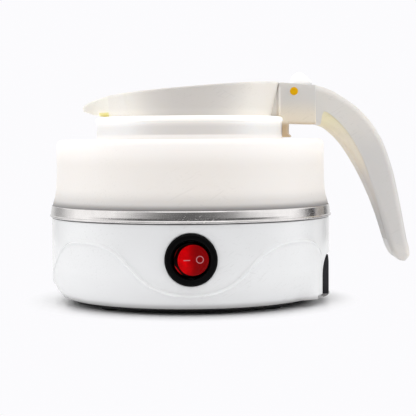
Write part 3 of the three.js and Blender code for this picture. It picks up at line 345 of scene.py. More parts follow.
def finish_node(name, slot, bevel=0.0):
    """Gives a CAD node that stays in view its finish, with its sharp edges rounded."""
    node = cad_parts[name]
    node.data.materials.clear()
    node.data.materials.append(FINISHES[slot])
    if bevel:
        modifier = node.modifiers.new("soften", "BEVEL")
        modifier.width = bevel * MM
        modifier.segments = 2
        modifier.limit_method = "ANGLE"


# Shader helpers, and the effects that more than one material uses

EFFECTS = {}


def fill(tree, node, values):
    """Sets a node's inputs, or links them where a value is a socket."""
    for key, value in values.items():
        if isinstance(value, bpy.types.NodeSocket):
            tree.links.new(value, node.inputs[key])
        else:
            node.inputs[key].default_value = value
    return node


def place(tree, kind, values=None, **settings):
    """Adds a node, sets its properties and fills its inputs."""
    node = tree.nodes.new(f"ShaderNode{kind}")
    for key, value in settings.items():
        setattr(node, key, value)
    return fill(tree, node, values or {})


def spot_in(tree):
    """The place on the piece, in metres."""
    return place(tree, "TexCoord").outputs["Object"]


def worked(tree, operation, *values):
    """The result of a math node."""
    return place(tree, "Math", dict(enumerate(values)), operation=operation).outputs[0]


def product(tree, first, *others):
    for value in others:
        first = worked(tree, "MULTIPLY", first, value)
    return first


def mapped(tree, value, low, high, to_low=0.0, to_high=1.0, smooth=False):
    """A value carried from one range to another, and held at its ends."""
    values = {"Value": value, "From Min": low, "From Max": high, "To Min": to_low, "To Max": to_high}
    kind = "SMOOTHSTEP" if smooth else "LINEAR"
    return place(tree, "MapRange", values, interpolation_type=kind).outputs["Result"]


def noise(tree, spot, scale, detail, roughness=0.5):
    values = {"Vector": spot, "Scale": scale, "Detail": detail, "Roughness": roughness}
    return place(tree, "TexNoise", values).outputs["Fac"]


def blended(tree, share, under, over, how="MIX"):
    """Two colours mixed by a share."""
    return place(tree, "Mix", {0: share, 6: under, 7: over}, data_type="RGBA", blend_type=how).outputs[2]


def new_group(name, inputs, *outputs):
    """A shader node group, its given values and its output node. Outputs are floats, but for Colour."""
    group = bpy.data.node_groups.new(name, "ShaderNodeTree")
    for label, default in inputs.items():
        kind = {1: "Float", 3: "Vector", 4: "Color"}[np.size(default)]
        socket = group.interface.new_socket(name=label, in_out="INPUT", socket_type=f"NodeSocket{kind}")
        socket.default_value = default
    for label in outputs:
        kind = "Color" if label == "Colour" else "Float"
        group.interface.new_socket(name=label, in_out="OUTPUT", socket_type=f"NodeSocket{kind}")
    EFFECTS[name] = group
    return group, group.nodes.new("NodeGroupInput").outputs, group.nodes.new("NodeGroupOutput")


def make_effects():
    """The shared node groups: drift of tone, grain, turned marks, fine wear and zones past a plane."""
    white = (1, 1, 1, 1)
    tree, given, out = new_group(
        "tone_drift", {"Colour": white, "Other": white, "Scale": 20.0}, "Colour")
    share = mapped(tree, noise(tree, spot_in(tree), given["Scale"], 3.0, 0.55), 0.3, 0.7)
    fill(tree, out, {"Colour": blended(tree, share, given["Colour"], given["Other"])})

    tree, given, out = new_group(
        "moulded_grain", {"Scale": 900.0, "Roughness": 0.3, "Spread": 0.06}, "Roughness", "Height")
    spot = spot_in(tree)
    uneven = worked(tree, "SUBTRACT", noise(tree, spot, 38.0, 2.0), 0.5)
    fill(tree, out, {"Roughness": worked(tree, "MULTIPLY_ADD", uneven, given["Spread"], given["Roughness"]),
                     "Height": noise(tree, spot, given["Scale"], 2.0, 0.6)})

    tree, given, out = new_group("turned_marks", {"Rings": 900.0, "Sweep": 1.2}, "Height")
    axes = place(tree, "SeparateXYZ", {"Vector": spot_in(tree)}).outputs
    around = worked(tree, "ARCTAN2", axes["Y"], axes["X"])
    square = worked(tree, "MULTIPLY_ADD", axes["Y"], axes["Y"], product(tree, axes["X"], axes["X"]))
    across = worked(tree, "ADD", worked(tree, "SQRT", square), axes["Z"])
    line = place(tree, "CombineXYZ", {"X": product(tree, around, given["Sweep"]),
                                      "Y": product(tree, across, given["Rings"])})
    fill(tree, out, {"Height": noise(tree, line.outputs[0], 1.0, 3.0, 0.65)})

    tree, given, out = new_group("fine_wear", {"Length": 60.0, "Width": 1400.0, "Amount": 1.0}, "Mask")
    spot = spot_in(tree)
    drawn = place(tree, "CombineXYZ", {"X": given["Length"], "Y": given["Width"], "Z": given["Width"]})
    found = 0.0
    for axis, turn in (((0.2, 1.0, 0.1), 0.5), ((0.9, 0.3, 0.2), 1.9), ((0.1, 0.4, 1.0), 2.7)):
        aside = place(tree, "VectorRotate", {"Vector": spot, "Axis": axis, "Angle": turn},
                      rotation_type="AXIS_ANGLE")
        scaled = place(tree, "VectorMath", {0: aside.outputs[0], 1: drawn.outputs[0]}, operation="MULTIPLY")
        scratches = mapped(tree, noise(tree, scaled.outputs[0], 1.0, 1.0), 0.66, 0.74)
        found = worked(tree, "MAXIMUM", found, scratches)
    patches = mapped(tree, noise(tree, spot, 30.0, 2.0), 0.42, 0.6)
    fill(tree, out, {"Mask": product(tree, found, patches, given["Amount"])})

    tree, given, out = new_group("past_plane", {"Direction": (0, 0, 1), "From": 0.0, "To": 1.0}, "Mask")
    along = place(tree, "VectorMath", {0: spot_in(tree), 1: given["Direction"]}, operation="DOT_PRODUCT")
    fill(tree, out, {"Mask": mapped(tree, along.outputs["Value"], given["From"], given["To"], smooth=True)})


def use(tree, effect, values):
    """Places a shared effect in a material."""
    return fill(tree, place(tree, "Group", node_tree=EFFECTS[effect]), values).outputs


def new_material(name, values):
    """A material with its shader, whose plain values are set on the shader's own sockets."""
    material = bpy.data.materials.new(name)
    material.use_nodes = True
    tree = material.node_tree
    return material, tree, fill(tree, tree.nodes["Principled BSDF"], values)


def toned(tone, factor=(1, 1, 1)):
    """A colour made lighter or darker, for a node."""
    return (*[min(1.0, c * f) for c, f in zip(tone, factor)], 1.0)


def zone(tree, planes):
    """A mask of what lies past every plane: each is a direction, and where it begins and is full, in mm."""
    masks = [use(tree, "past_plane", {"Direction": direction, "From": start * MM, "To": full * MM})["Mask"]
             for direction, start, full in planes]
    return product(tree, *masks)


def plastic(name, tone, roughness, drift=(0.97, 0.97, 0.96), grain=900.0, depth=0.05, scale=26.0,
            painted_light_and_shade=(), painted_glow=(), **values):
    """Moulded plastic or rubber: drift of tone, grain and fine wear, with painted light and shade in some
    zones: tints that replace the colour, and a painted glow of emitted light.
    """
    material, tree, shader = new_material(name, values)
    seen = use(tree, "tone_drift", {
        "Colour": toned(tone), "Other": toned(tone, drift), "Scale": scale})["Colour"]
    skin_grain = use(tree, "moulded_grain", {"Scale": grain, "Roughness": roughness, "Spread": 0.12})
    bump = place(tree, "Bump", {"Height": skin_grain["Height"], "Strength": depth, "Distance": 0.0002})
    # Painted light and shade: each tint replaces the colour in its zone.
    for tint, *planes in painted_light_and_shade:
        seen = blended(tree, zone(tree, planes), seen, toned(tint))
    # Painted light: an emitted glow that stands in for light falling on the part or passing through it.
    shine = (0, 0, 0, 1)
    for light, *planes in painted_glow:
        shine = blended(tree, zone(tree, planes), shine, toned(light))
    wear = use(tree, "fine_wear", {"Amount": 0.16})["Mask"]
    fill(tree, shader, {
        "Base Color": blended(tree, wear, seen, (0.6, 0.59, 0.57, 1), "MULTIPLY"),
        "Roughness": worked(tree, "MULTIPLY_ADD", wear, 0.35, skin_grain["Roughness"]),
        "Normal": bump.outputs["Normal"], "Emission Color": shine, "Emission Strength": 1.0 if painted_glow else 0.0})
    FINISHES[name] = material


def metal(name, tone, roughness, rings=900.0, sweep=1.2, depth=0.12, drift=(0.86, 0.86, 0.87)):
    """Turned or drawn metal with marks that run round the axis, and fine scratches."""
    material, tree, shader = new_material(name, {"Metallic": 1.0})
    marks = use(tree, "turned_marks", {"Rings": rings, "Sweep": sweep})["Height"]
    rough = mapped(tree, marks, 0.3, 0.7, roughness * 0.75, roughness * 1.3)
    wear = use(tree, "fine_wear", {"Amount": 1.0, "Length": 90.0})["Mask"]
    seen = use(tree, "tone_drift", {
        "Colour": toned(tone), "Other": toned(tone, drift), "Scale": 60.0})["Colour"]
    bump = place(tree, "Bump", {"Height": marks, "Strength": depth, "Distance": 0.0001})
    fill(tree, shader, {
        "Base Color": seen, "Roughness": worked(tree, "MULTIPLY_ADD", wear, 0.18, rough),
        "Normal": bump.outputs["Normal"]})
    FINISHES[name] = material


# Directions of the zones where light and shade are painted. The rocker's follow its tilted face.

UP, DOWN, LEFT, RIGHT, FRONT, BACK = (0, 0, 1), (0, 0, -1), (-1, 0, 0), (1, 0, 0), (0, -1, 0), (0, 1, 0)
INTO_SWITCH, OUT_OF_SWITCH = (-0.139, 0.990, 0), (0.139, -0.990, 0)
BUTTON_WALL = (INTO_SWITCH, -69.55, -69.25)
BUTTON_FACE = (OUT_OF_SWITCH, 69.25, 69.55)
BRACKET_START = (RIGHT, 42.0, 43.5)
ABOVE_RING_FOOT = (UP, 90.0, 93.0)
BELOW_RIM = (DOWN, -105.5, -103.0)
THUMB_TAB = ((UP, 105.0, 107.0), (RIGHT, 47.0, 49.0))
NECK_FOOT = (UP, 80.1, 81.5)


def light_inside(weight, radius, **values):
    """Light that spreads under the skin, by a radius in metres for each colour."""
    return {"Subsurface Weight": weight, "Subsurface Radius": radius, **values}


SATIN = dict(roughness=0.34, drift=(0.97, 0.955, 0.93), depth=0.05,
             **light_inside(0.12, (0.004, 0.003, 0.002), **{"Subsurface Scale": 1.0}))
SOFT = dict(roughness=0.42, drift=(0.985, 0.975, 0.955), depth=0.06, grain=700.0, **light_inside(
    0.3, (0.009, 0.0065, 0.0045), **{"Subsurface Scale": 1.0, "Sheen Weight": 0.08, "Sheen Roughness": 0.4}))


class KETTLE_OT_finishes(bpy.types.Operator):
    """Makes the kettle's materials"""

    bl_idname = "kettle.finishes"
    bl_label = "Finishes"

    def execute(self, context):
        colours = context.scene.kettle_colours
        make_effects()
        plastic("housing_white", colours.housing, 0.16, (0.985, 0.985, 0.98), 500.0, 0.02, painted_light_and_shade=(
            # Painted light: a touch lighter below 22 mm, for light from the floor.
            ((0.88, 0.885, 0.89), (DOWN, -22.0, -10.0)),
            # Painted shade on the foot's rounded edge, from 5 mm down to 2 mm.
            ((0.50, 0.495, 0.49), (DOWN, -5.2, -2.2), (UP, 1.0, 2.0)),
        ), **{"Coat Weight": 0.35, "Coat Roughness": 0.06, "Specular IOR Level": 0.5})
        plastic("ring_white", colours.ring, **SATIN, painted_light_and_shade=(
            # Painted shade: darker below 88 mm, on the lower part of the handle.
            ((0.72, 0.70, 0.68), (DOWN, -88.0, -70.0), (UP, 20.0, 30.0)),))
        # Painted light: the spout ring has the ring's white made lighter, with painted light and shade in
        # zones.
        plastic("spout_white", toned(colours.ring, (1.13, 1.13, 1.12)), **SATIN, painted_light_and_shade=(
            # Painted reflection: the ring's front darker, as the dark space in front reflects in it.
            ((0.72, 0.69, 0.66), (FRONT, 31.0, 43.5)),
            # Painted shade on the fork and the strap.
            ((0.76, 0.735, 0.705), BRACKET_START),
            # Painted shade: the beak's sides a shaded cream.
            ((0.95, 0.92, 0.85), (LEFT, 39.1, 39.9)),
            # Painted shade: a yellow spot under the beak, where it meets the neck.
            ((0.86, 0.78, 0.30), (LEFT, 39.5, 39.9), (RIGHT, -45.3, -44.4), (DOWN, -92.4, -92.0)),
            # Painted warm light on the fork below 100 mm, and painted brown shade on the strap below 88 mm.
            ((0.93, 0.84, 0.70), BRACKET_START, (DOWN, -100.0, -88.0)),
            ((0.66, 0.50, 0.32), BRACKET_START, (DOWN, -88.0, -85.0)),
        ), painted_glow=(
            # Painted light: a glow in the hollow of the web behind the ring's wall.
            ((0.12, 0.12, 0.115), (RIGHT, 38.5, 40.5), (LEFT, -44.9, -44.0), (BACK, -10.2, -9.2),
             ABOVE_RING_FOOT, BELOW_RIM),
            # Painted light along the ring's lower edge.
            ((0.07, 0.07, 0.07), (DOWN, -94.5, -91.0), (LEFT, -42.0, -38.0)),
            # Painted highlight on the fork's front left edge.
            ((0.16, 0.155, 0.15), (RIGHT, 43.2, 43.5), (LEFT, -44.9, -44.0), (FRONT, 10.6, 11.4),
             ABOVE_RING_FOOT, BELOW_RIM),
            # Painted highlight along the seam at the fork's end.
            ((0.12, 0.12, 0.12), (RIGHT, 61.2, 61.4), (FRONT, 10.6, 11.4), BELOW_RIM),
        ))
        # Painted light on the thumb tab: a lighter white and a glow, as light passes through it.
        plastic("lid_white", colours.ring, **SATIN, painted_light_and_shade=(((0.87, 0.865, 0.85), *THUMB_TAB),),
                painted_glow=(((0.36, 0.36, 0.36), *THUMB_TAB),))
        # Painted light and shade on the silicone: its colour is kept dim, and a painted glow makes up the rest
        # of its light.
        plastic("body_silicone", colours.silicone, **SOFT, painted_light_and_shade=(
            # Painted shade at the foot of the lower tier, against the band, below 50 mm.
            ((0.27, 0.255, 0.25), (DOWN, -49.8, -46.8), (UP, 41.0, 41.5)),
            # On the neck, above 81 mm, a lighter white replaces the dim colour, as it gets little painted glow,
            # and painted shade darkens its front under the ring.
            ((0.93, 0.92, 0.91), NECK_FOOT),
            ((0.79, 0.76, 0.74), NECK_FOOT, (FRONT, 35.0, 46.4)),
        ), painted_glow=(
            # Painted glow, stronger higher up the lower tier, little on the neck, and a painted highlight on
            # the neck's bead.
            ((0.31, 0.295, 0.28), (UP, 46.4, 56.0)),
            ((0.44, 0.43, 0.425), (UP, 66.0, 77.0)),
            ((0.06, 0.055, 0.05), NECK_FOOT),
            ((0.36, 0.36, 0.355), (UP, 84.6, 88.8)),
        ))
        # Painted light: the fold tier glows all over.
        plastic("fold_silicone", colours.silicone, **SOFT, painted_glow=(((0.26, 0.245, 0.235), (UP, 0.0, 1.0)),))
        # Painted shade on the grip insert: its cream, turning greyer and darker in steps further down.
        plastic("grip_cream", colours.grip, 0.5, drift=(0.95, 0.95, 0.99), depth=0.1, grain=1400.0, painted_light_and_shade=(
            ((0.88, 0.80, 0.66), (DOWN, -92.0, -76.0)),
            ((0.74, 0.70, 0.655), (DOWN, -72.0, -56.0)),
            ((0.62, 0.60, 0.575), (DOWN, -52.0, -38.0)),
        ), **light_inside(0.1, (0.003, 0.002, 0.001)))
        plastic("rocker_red", colours.rocker, 0.18, drift=(0.45, 0.9, 0.9), depth=0.02, scale=330.0, painted_light_and_shade=(
            # Painted shade: the right half darker, where the rocker is pressed in.
            ((0.24, 0.001, 0.002), (RIGHT, -3.0, 3.0)),
            # Painted shade: the button's wall dark, with a lit red crescent at the lower left and a dim one at
            # the upper left.
            ((0.004, 0.0, 0.0), BUTTON_WALL),
            ((0.62, 0.002, 0.004), BUTTON_WALL, ((-0.8, 0, -0.6), -7.8, -7.65)),
            ((0.10, 0.001, 0.001), BUTTON_WALL, ((-0.9, 0, 0.43), 17.95, 18.1)),
        ), painted_glow=(
            # Painted light: a red glow on the left of the face.
            ((0.17, 0.0, 0.0), (LEFT, -3.0, 5.0), (INTO_SWITCH, -100.0, -99.0), BUTTON_FACE),
        ), **light_inside(0.3, (0.004, 0.0005, 0.0003), **{"Specular IOR Level": 0.05}))
        for name, tone, roughness, shine, extra in (
            ("switch_black", colours.black, 0.26, 0.05, {"drift": (1.5, 1.5, 1.5)}),
            ("inlet_black", (0.014, 0.0135, 0.016), 0.3, 0.3, {"drift": (1.5, 1.5, 1.5), "depth": 0.06}),
            ("base_black", colours.black, 0.42, 0.5, {"drift": (1.8, 1.8, 1.8), "depth": 0.2}),
            ("foot_rubber", (0.012, 0.012, 0.012), 0.8, 0.5, {"drift": (2, 2, 2), "depth": 0.35}),
            ("rocker_mark", (0.50, 0.17, 0.19), 0.5, 0.5, {}),
            ("pin_yellow", colours.pin, 0.34, 0.12, {"drift": (0.86, 0.74, 0.7), "scale": 500.0}),
            ("ceramic_white", (0.78, 0.76, 0.70), 0.6, 0.5, {"depth": 0.3}),
            ("wire_brown", (0.18, 0.08, 0.035), 0.45, 0.5, {}),
            ("wire_blue", (0.03, 0.10, 0.38), 0.45, 0.5, {}),
            ("wire_green", (0.08, 0.30, 0.05), 0.45, 0.5, {}),
        ):
            plastic(name, tone, roughness, **extra, **{"Specular IOR Level": shine})
        metal("band_chrome", (0.80, 0.78, 0.77), 0.15, 2400.0, 3.0, depth=0.22, drift=(0.80, 0.79, 0.79))
        metal("pan_steel", (0.66, 0.66, 0.67), 0.26, 1800.0, 2.0)
        metal("screw_steel", (0.55, 0.55, 0.56), 0.3, 600.0, 40.0)
        metal("spreader_aluminium", (0.6, 0.61, 0.62), 0.5, 300.0)
        metal("element_steel", (0.42, 0.39, 0.36), 0.42, 500.0, 9.0)
        metal("contact_brass", (0.72, 0.58, 0.30), 0.24, 900.0, 30.0)
        return {"FINISHED"}


# The heating base. The wave's section gives heights over its crest, and shares of how proud it stands there.

HOUSING_COLUMNS = 320
WAVE_Z = 19.75
WAVE_HEIGHT = 11.6
WAVE_COUNT = 4
WAVE_SKEW = 0.22
PANEL_SHARE = 0.6
WAVE_SECTION = ((-1.6, 0.62), (-1.1, 0.68), (-0.7, 0.82), (-0.35, 0.95), (0.0, 1.0), (0.3, 0.86), (0.6, 0.6),
                (0.85, 0.33), (1.1, 0.12), (1.4, 0.02), (1.8, 0.0))
WALL_LEAN_Z = 24.0
HOUSING_WALL = 1.2
SWITCH_SEAT_RADIUS, SWITCH_HOLE_RADIUS = 12.35, 10.3
HOUSING_INNER = (
    (HOUSING_TOP_RADIUS - 0.15, HOUSING_TOP_Z - 0.1, 0), (HOUSING_TOP_RADIUS - 0.5, HOUSING_TOP_Z, 0),
    (61.0, HOUSING_TOP_Z, 0.3), (61.0, 38.5, 0.3), (66.6, 38.5, 0.5), (66.8, WALL_LEAN_Z, 0), (64.8, 9.5, 3),
    (61.5, HOUSING_FOOT_Z, 0), (HOUSING_FOOT_RADIUS - 0.6, HOUSING_FOOT_Z, 0),
    (HOUSING_FOOT_RADIUS - 0.15, HOUSING_FOOT_Z + 0.15, 0))
POCKET_CORNERS = ((-28.3, 2.6, 1.6), (28.3, 2.6, 1.6), (28.3, 23.2, 10), (-28.3, 23.2, 10))
INLET_CORNERS = (-13.5, 2.4, 13.5, 21.8)
INLET_CHAMFER = 3.0


def housing_radius(z):
    """The plain outer wall's radius at each height."""
    up = np.clip((z - HOUSING_FOOT_Z) / 15.0, 0, 1)
    corner = HOUSING_MID_RADIUS - (HOUSING_MID_RADIUS - HOUSING_FOOT_RADIUS) * (1 - up) ** 1.6
    past = np.maximum(0, z - WALL_LEAN_Z) / (HOUSING_TOP_Z - WALL_LEAN_Z)
    return corner - (HOUSING_MID_RADIUS - HOUSING_TOP_RADIUS) * past


def inlet_outline(margin, radius=0.0):
    """The inlet's outline in Y and Z with its chamfered upper corners, grown by a margin."""
    y0, z0, y1, z1 = np.array(INLET_CORNERS) + (-margin, -margin, margin, margin)
    cut = INLET_CHAMFER
    corners = [(y0, z0), (y1, z0), (y1, z1 - cut), (y1 - cut, z1), (y0 + cut, z1), (y0, z1 - cut)]
    return rounded([(y, z, radius) for y, z in corners], 3)


class KETTLE_OT_housing(bpy.types.Operator):
    """Makes the housing with its wave, its seat for the switch and the pocket for the inlet"""

    bl_idname = "kettle.housing"
    bl_label = "Housing"

    def execute(self, context):
        turns = angles_of(HOUSING_COLUMNS)
        ridge = WAVE_Z - WAVE_HEIGHT * np.cos(WAVE_COUNT * turns - WAVE_SKEW * np.sin(2 * WAVE_COUNT * turns))
        from_inlet = np.abs((turns + math.pi) % (2 * math.pi) - math.pi)
        proud = context.scene.kettle_sizes.wave_proud / MM * smooth_step(from_inlet, 0.42, 0.6)
        upright = 1 - smooth_step(from_inlet, 0.5, 0.7)

        def wall(z, part):
            plain = housing_radius(z)
            straight = (np.maximum(plain, HOUSING_MID_RADIUS) - plain) * upright * (z < 20)
            return plain + straight + proud * part, z

        places = []
        first, last = HOUSING_FOOT_Z + 0.5, HOUSING_TOP_Z - 0.4
        below, above = WAVE_SECTION[0][0] - 0.4, WAVE_SECTION[-1][0]
        for share in np.linspace(0, 1, 18):
            z = first + (ridge + below - first) * share
            places.append(wall(z, PANEL_SHARE * smooth_step(z, HOUSING_FOOT_Z, 5.5)))
        places += [wall(ridge + rise, part) for rise, part in WAVE_SECTION]
        for share in np.linspace(0.08, 1, 16):
            places.append(wall(ridge + above + (last - ridge - above) * share, 0))
        piece = skin("housing", round_rows(turns, places + rounded(HOUSING_INNER, 3)), "loop")

        inside = [(r - HOUSING_WALL, z) for r, z in (
            (HOUSING_FOOT_RADIUS, HOUSING_FOOT_Z), (67.4, 9.5), (HOUSING_MID_RADIUS, WALL_LEAN_Z),
            (HOUSING_TOP_RADIUS, HOUSING_TOP_Z))]
        surround = block(
            "surround", (POCKET_FLOOR_X - 2.4, -30.7, HOUSING_FOOT_Z), (INLET_FACE_X, 30.7, 25.6))
        core = turned("core", [(0, HOUSING_FOOT_Z)] + inside + [(0, HOUSING_TOP_Z)])
        carve(piece, carve(surround, core, "INTERSECT"), "UNION")
        for side in (-1, 1):
            for near, wide, low, face in ((27.5, 31.1, 2.6, 61.9), (27.7, 29.9, 2.8, 62.9)):
                y0, y1 = sorted((side * near, side * wide))
                corners = [(y0, low, 0.7), (y1, low, 0.7), (y1, 24.4 - low, 0.7), (y0, 24.4 - low, 0.7)]
                carve(piece, prism("pocket_frame", rounded(corners, 3), "X", 52.5 + low, face, 0.4), "UNION")
        carve(piece, prism("pocket", rounded(POCKET_CORNERS, 12), "X", POCKET_FLOOR_X, 78.0))
        for y in (-38.6, 28.0):
            carve(piece, block("corner_gap", (60.4, y, 1.0), (74.0, y + 10.6, 4.3)))
        carve(piece, prism("flange_room", inlet_outline(0.2, 0.6), "X", POCKET_FLOOR_X - 1.2, INLET_FACE_X))
        carve(piece, prism("throat", inlet_outline(-1.4, 0.6), "X", 40.0, INLET_FACE_X))
        x, _, z = SWITCH_PLACE
        carve(piece, rod("switch_seat", SWITCH_SEAT_RADIUS, "Y", (x, z), -76.0, -68.4, 96))
        carve(piece, rod("switch_hole", SWITCH_HOLE_RADIUS, "Y", (x, z), -76.0, -50.0))
        dress(piece, "base", "housing_white", ["housing_shell"], sharp=30)
        return {"FINISHED"}


PLATE_PROFILE = (
    (0, 0, 0), (PLATE_RADIUS - 2, 0, 0), (PLATE_RADIUS - 1.5, 0.25, 0.3), (PLATE_RADIUS - 1.1, 0.25, 0.3),
    (PLATE_RADIUS, 1.1, 0.9), (PLATE_RADIUS, 1.9, 0.2), (60.1, 1.9, 0), (60.1, 5.2, 0.3), (58.6, 5.2, 0.3),
    (58.6, 2.6, 0), (0, 2.6, 0))
FOOT_ROOM_RADIUS = 5.25
SCREW_ROOM_RADIUS, SCREW_BORE_RADIUS = 3.2, 1.75
GROOVE_RADII = (20.0, 34.0, 46.0)
FOOT_PROFILE = (
    (0, -1.0, 0), (1.6, -1.0, 0), (1.9, -0.75, 0.1), (2.3, -0.75, 0.1), (2.6, -1.0, 0.1), (4.3, -1.0, 0.5),
    (5.0, -0.3, 0.4), (5.0, 1.0, 0.2), (0, 1.0, 0))


class KETTLE_OT_base_plate(bpy.types.Operator):
    """Makes the black plate under the housing, with its foot recesses, screw seats and grooves"""

    bl_idname = "kettle.base_plate"
    bl_label = "Base plate"

    def execute(self, context):
        piece = turned("base_plate_piece", rounded(PLATE_PROFILE, 3))
        carve(piece, block("inlet_relief", (40, -17, 2.6), (66, 17, 9)))
        carve(piece, block("pocket_relief", (POCKET_FLOOR_X - 2.7, -17, 1.7), (66, 17, 9)))
        places = [circle(FOOT_CIRCLE, 4, start=start) for start in (FOOT_ANGLE, SCREW_ANGLE)]
        for foot, seat in zip(*places):
            carve(piece, rod("foot_room", FOOT_ROOM_RADIUS, "Z", foot, -2, 1.25, 48))
            carve(piece, rod("screw_room", SCREW_ROOM_RADIUS, "Z", seat, -2, 1.75, 40))
            carve(piece, rod("screw_bore", SCREW_BORE_RADIUS, "Z", seat, -2, 4, 24))
        for r in GROOVE_RADII:
            corners = [(r - 0.5, -1, 0), (r + 0.5, -1, 0), (r + 0.35, 0.22, 0.1), (r - 0.35, 0.22, 0.1)]
            carve(piece, turned("groove", rounded(corners, 2), 128))
        dress(piece, "base", "base_black", ["base_plate"])
        return {"FINISHED"}


class KETTLE_OT_feet(bpy.types.Operator):
    """Makes the four rubber feet, each with a ribbed sole"""

    bl_idname = "kettle.feet"
    bl_label = "Feet"

    def execute(self, context):
        for i, (x, y) in enumerate(circle(FOOT_CIRCLE, 4, start=FOOT_ANGLE)):
            piece = turned(f"rubber_foot_{i + 1}", rounded(FOOT_PROFILE, 3), 56)
            piece.data.transform(shifted(x, y, 0))
            dress(piece, "base", "foot_rubber", [f"foot_{i + 1}"])
        return {"FINISHED"}


def screw(name, head, height, shank, length, x, y, z):
    """A pan head screw with a cross recess, head down."""
    piece = turned(name, rounded([
        (0, 0, 0), (head * 0.55, 0, 0), (head, height * 0.5, height * 0.6), (head, height, 0.1),
        (shank, height, 0), (shank, length - shank, 0), (0.01, length, 0), (0, length, 0)], 3), 40)
    reach, half, deep = head * 0.58, head * 0.13, height * 0.65
    carve(piece, block("cross_a", (-reach, -half, -1), (reach, half, deep)))
    carve(piece, block("cross_b", (-half, -reach, -1), (half, reach, deep)))
    piece.data.transform(shifted(x, y, z) @ Matrix.Rotation(0.4, 4, "Z"))
    return piece


class KETTLE_OT_screws(bpy.types.Operator):
    """Makes the screws of the base and of the handle"""

    bl_idname = "kettle.screws"
    bl_label = "Screws"

    def execute(self, context):
        for i, (x, y) in enumerate(circle(FOOT_CIRCLE, 4, start=SCREW_ANGLE)):
            piece = screw(f"plate_screw_{i + 1}", 2.9, 1.3, 1.5, 12.0, x, y, 0.2)
            dress(piece, "base", "screw_steel", [f"base_screw_{i + 1}"])
        for i, y in enumerate(GRIP_SCREW_SIDES):
            piece = screw(f"grip_screw_{i + 1}", 2.0, 0.5, 1.0, 4.0, GRIP_SCREW_X, y, 86.2)
            dress(piece, "upper", "screw_steel", [f"handle_screw_{i + 1}"])
        return {"FINISHED"}


PAN_PROFILE = (
    (0, 36.0, 0), (18, 36.0, 2), (19, 36.4, 2), (30, 36.4, 2), (31, 36.0, 2), (54.6, 36.0, 2.6),
    (57.3, 39.2, 3), (59.6, 41.0, 1.6), (68.4, 41.0, 0.2), (68.4, 41.8, 0.2), (59.2, 41.8, 1.6),
    (56.2, 39.0, 2.4), (54.0, 36.8, 1.8), (30.6, 36.8, 2), (29.6, 37.2, 2), (19.4, 37.2, 2),
    (18.4, 36.8, 2), (0, 36.8, 0))
CLAMP_PROFILE = ((60.8, 44.6, 0.3), (63.8, 44.6, 0.3), (63.8, 45.8, 0.3), (60.8, 45.8, 0.3))
BAND_PROFILE = (
    (68.7, 41.15, 0), (69.65, 41.15, 0.25), (70.0, 41.45, 0.35), (69.98, 41.95, 0.45), (69.45, 42.4, 0.12),
    (69.45, 43.4, 0.8), (69.1, 46.2, 1.4), (68.95, 46.6, 0.3), (68.7, 46.85, 0.1))
LOWER_TIER_PROFILE = (
    (61.1, 42.1, 0.2), (68.5, 42.1, 0.2), (68.5, 46.9, 0.8), (68.1, 48.9, 3), (67.3, 51.4, 5),
    (66.85, 54.4, 6), (66.5, 61, 12), (66.4, 69, 10), (66.4, 78.9, 3.6), (60.5, 79.0, 6), (56.3, 78.9, 1.2),
    (56.3, 76.6, 0.8), (62.6, 76.7, 2.2), (64.2, 74.3, 3), (64.3, 62, 6), (64.6, 54, 6), (64.1, 46.2, 2),
    (63.9, 44.3, 0.4), (61.1, 44.3, 0.2))


FOLD_ROWS = 44
FOLD_TOP_RADIUS, FOLD_BOTTOM_RADIUS, FOLD_WALL = 57.0, 52.0, 1.7
NECK_RADIUS = 46.4


class KETTLE_OT_pan(bpy.types.Operator):
    """Makes the steel pan with its stamped floor, and the ring that clamps the silicone on it"""

    bl_idname = "kettle.pan"
    bl_label = "Heating pan"

    def execute(self, context):
        dress(turned("heating_pan", rounded(PAN_PROFILE, 5)), "base", "pan_steel", ["steel_pan"], sharp=60)
        dress(turned("silicone_clamp", rounded(CLAMP_PROFILE, 3)), "base", "pan_steel", ["clamp_ring"])
        return {"FINISHED"}


class KETTLE_OT_band(bpy.types.Operator):
    """Makes the polished band with its rolled lip"""

    bl_idname = "kettle.band"
    bl_label = "Steel band"

    def execute(self, context):
        piece = turned("polished_band", rounded(BAND_PROFILE, 5), 256)
        dress(piece, "base", "band_chrome", ["steel_band"], sharp=50)
        return {"FINISHED"}


class KETTLE_OT_silicone(bpy.types.Operator):
    """Makes the silicone body in its three tiers: the lower tier, the fold between it and the neck, and the
    neck
    """

    bl_idname = "kettle.silicone"
    bl_label = "Silicone body"

    def execute(self, context):
        piece = turned("silicone_lower", rounded(LOWER_TIER_PROFILE, 6), 256)
        dress(piece, "base", "body_silicone", ["silicone_lower_tier"], sharp=60)

        outer = list(zip(np.linspace(FOLD_TOP_RADIUS, FOLD_BOTTOM_RADIUS, FOLD_ROWS + 1),
                         np.linspace(FOLD_TOP_Z, FOLD_BOTTOM_Z, FOLD_ROWS + 1)))
        piece = turned("silicone_fold", outer + [(r - FOLD_WALL, z) for r, z in reversed(outer)], 256)
        dress(piece, None, "body_silicone", ["silicone_fold_tier"], "fold_silicone", sharp=75)
        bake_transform(piece)

        bead = NECK_RADIUS + context.scene.kettle_sizes.ring_bead / MM
        neck = rounded([
            (47.8, FOLD_BOTTOM_Z, 0.8), (50.6, FOLD_BOTTOM_Z, 1.2), (50.3, 55.6, 1.2), (47.0, 60.6, 3),
            (NECK_RADIUS, 66.5, 4), (NECK_RADIUS, 87.0, 1.0), (bead, 87.6, 0.6), (bead, 89.1, 1.0),
            (45.2, 90.0, 0.8), (44.3, 90.0, 0.2), (44.3, 66.8, 4), (44.7, 60.6, 3)], 5)
        piece = turned("silicone_neck", neck, 256)
        dress(piece, "upper", "body_silicone", ["silicone_neck_tier"], sharp=60)
        return {"FINISHED"}


# Spout ring and hinge. The rim's line gives its height along X.

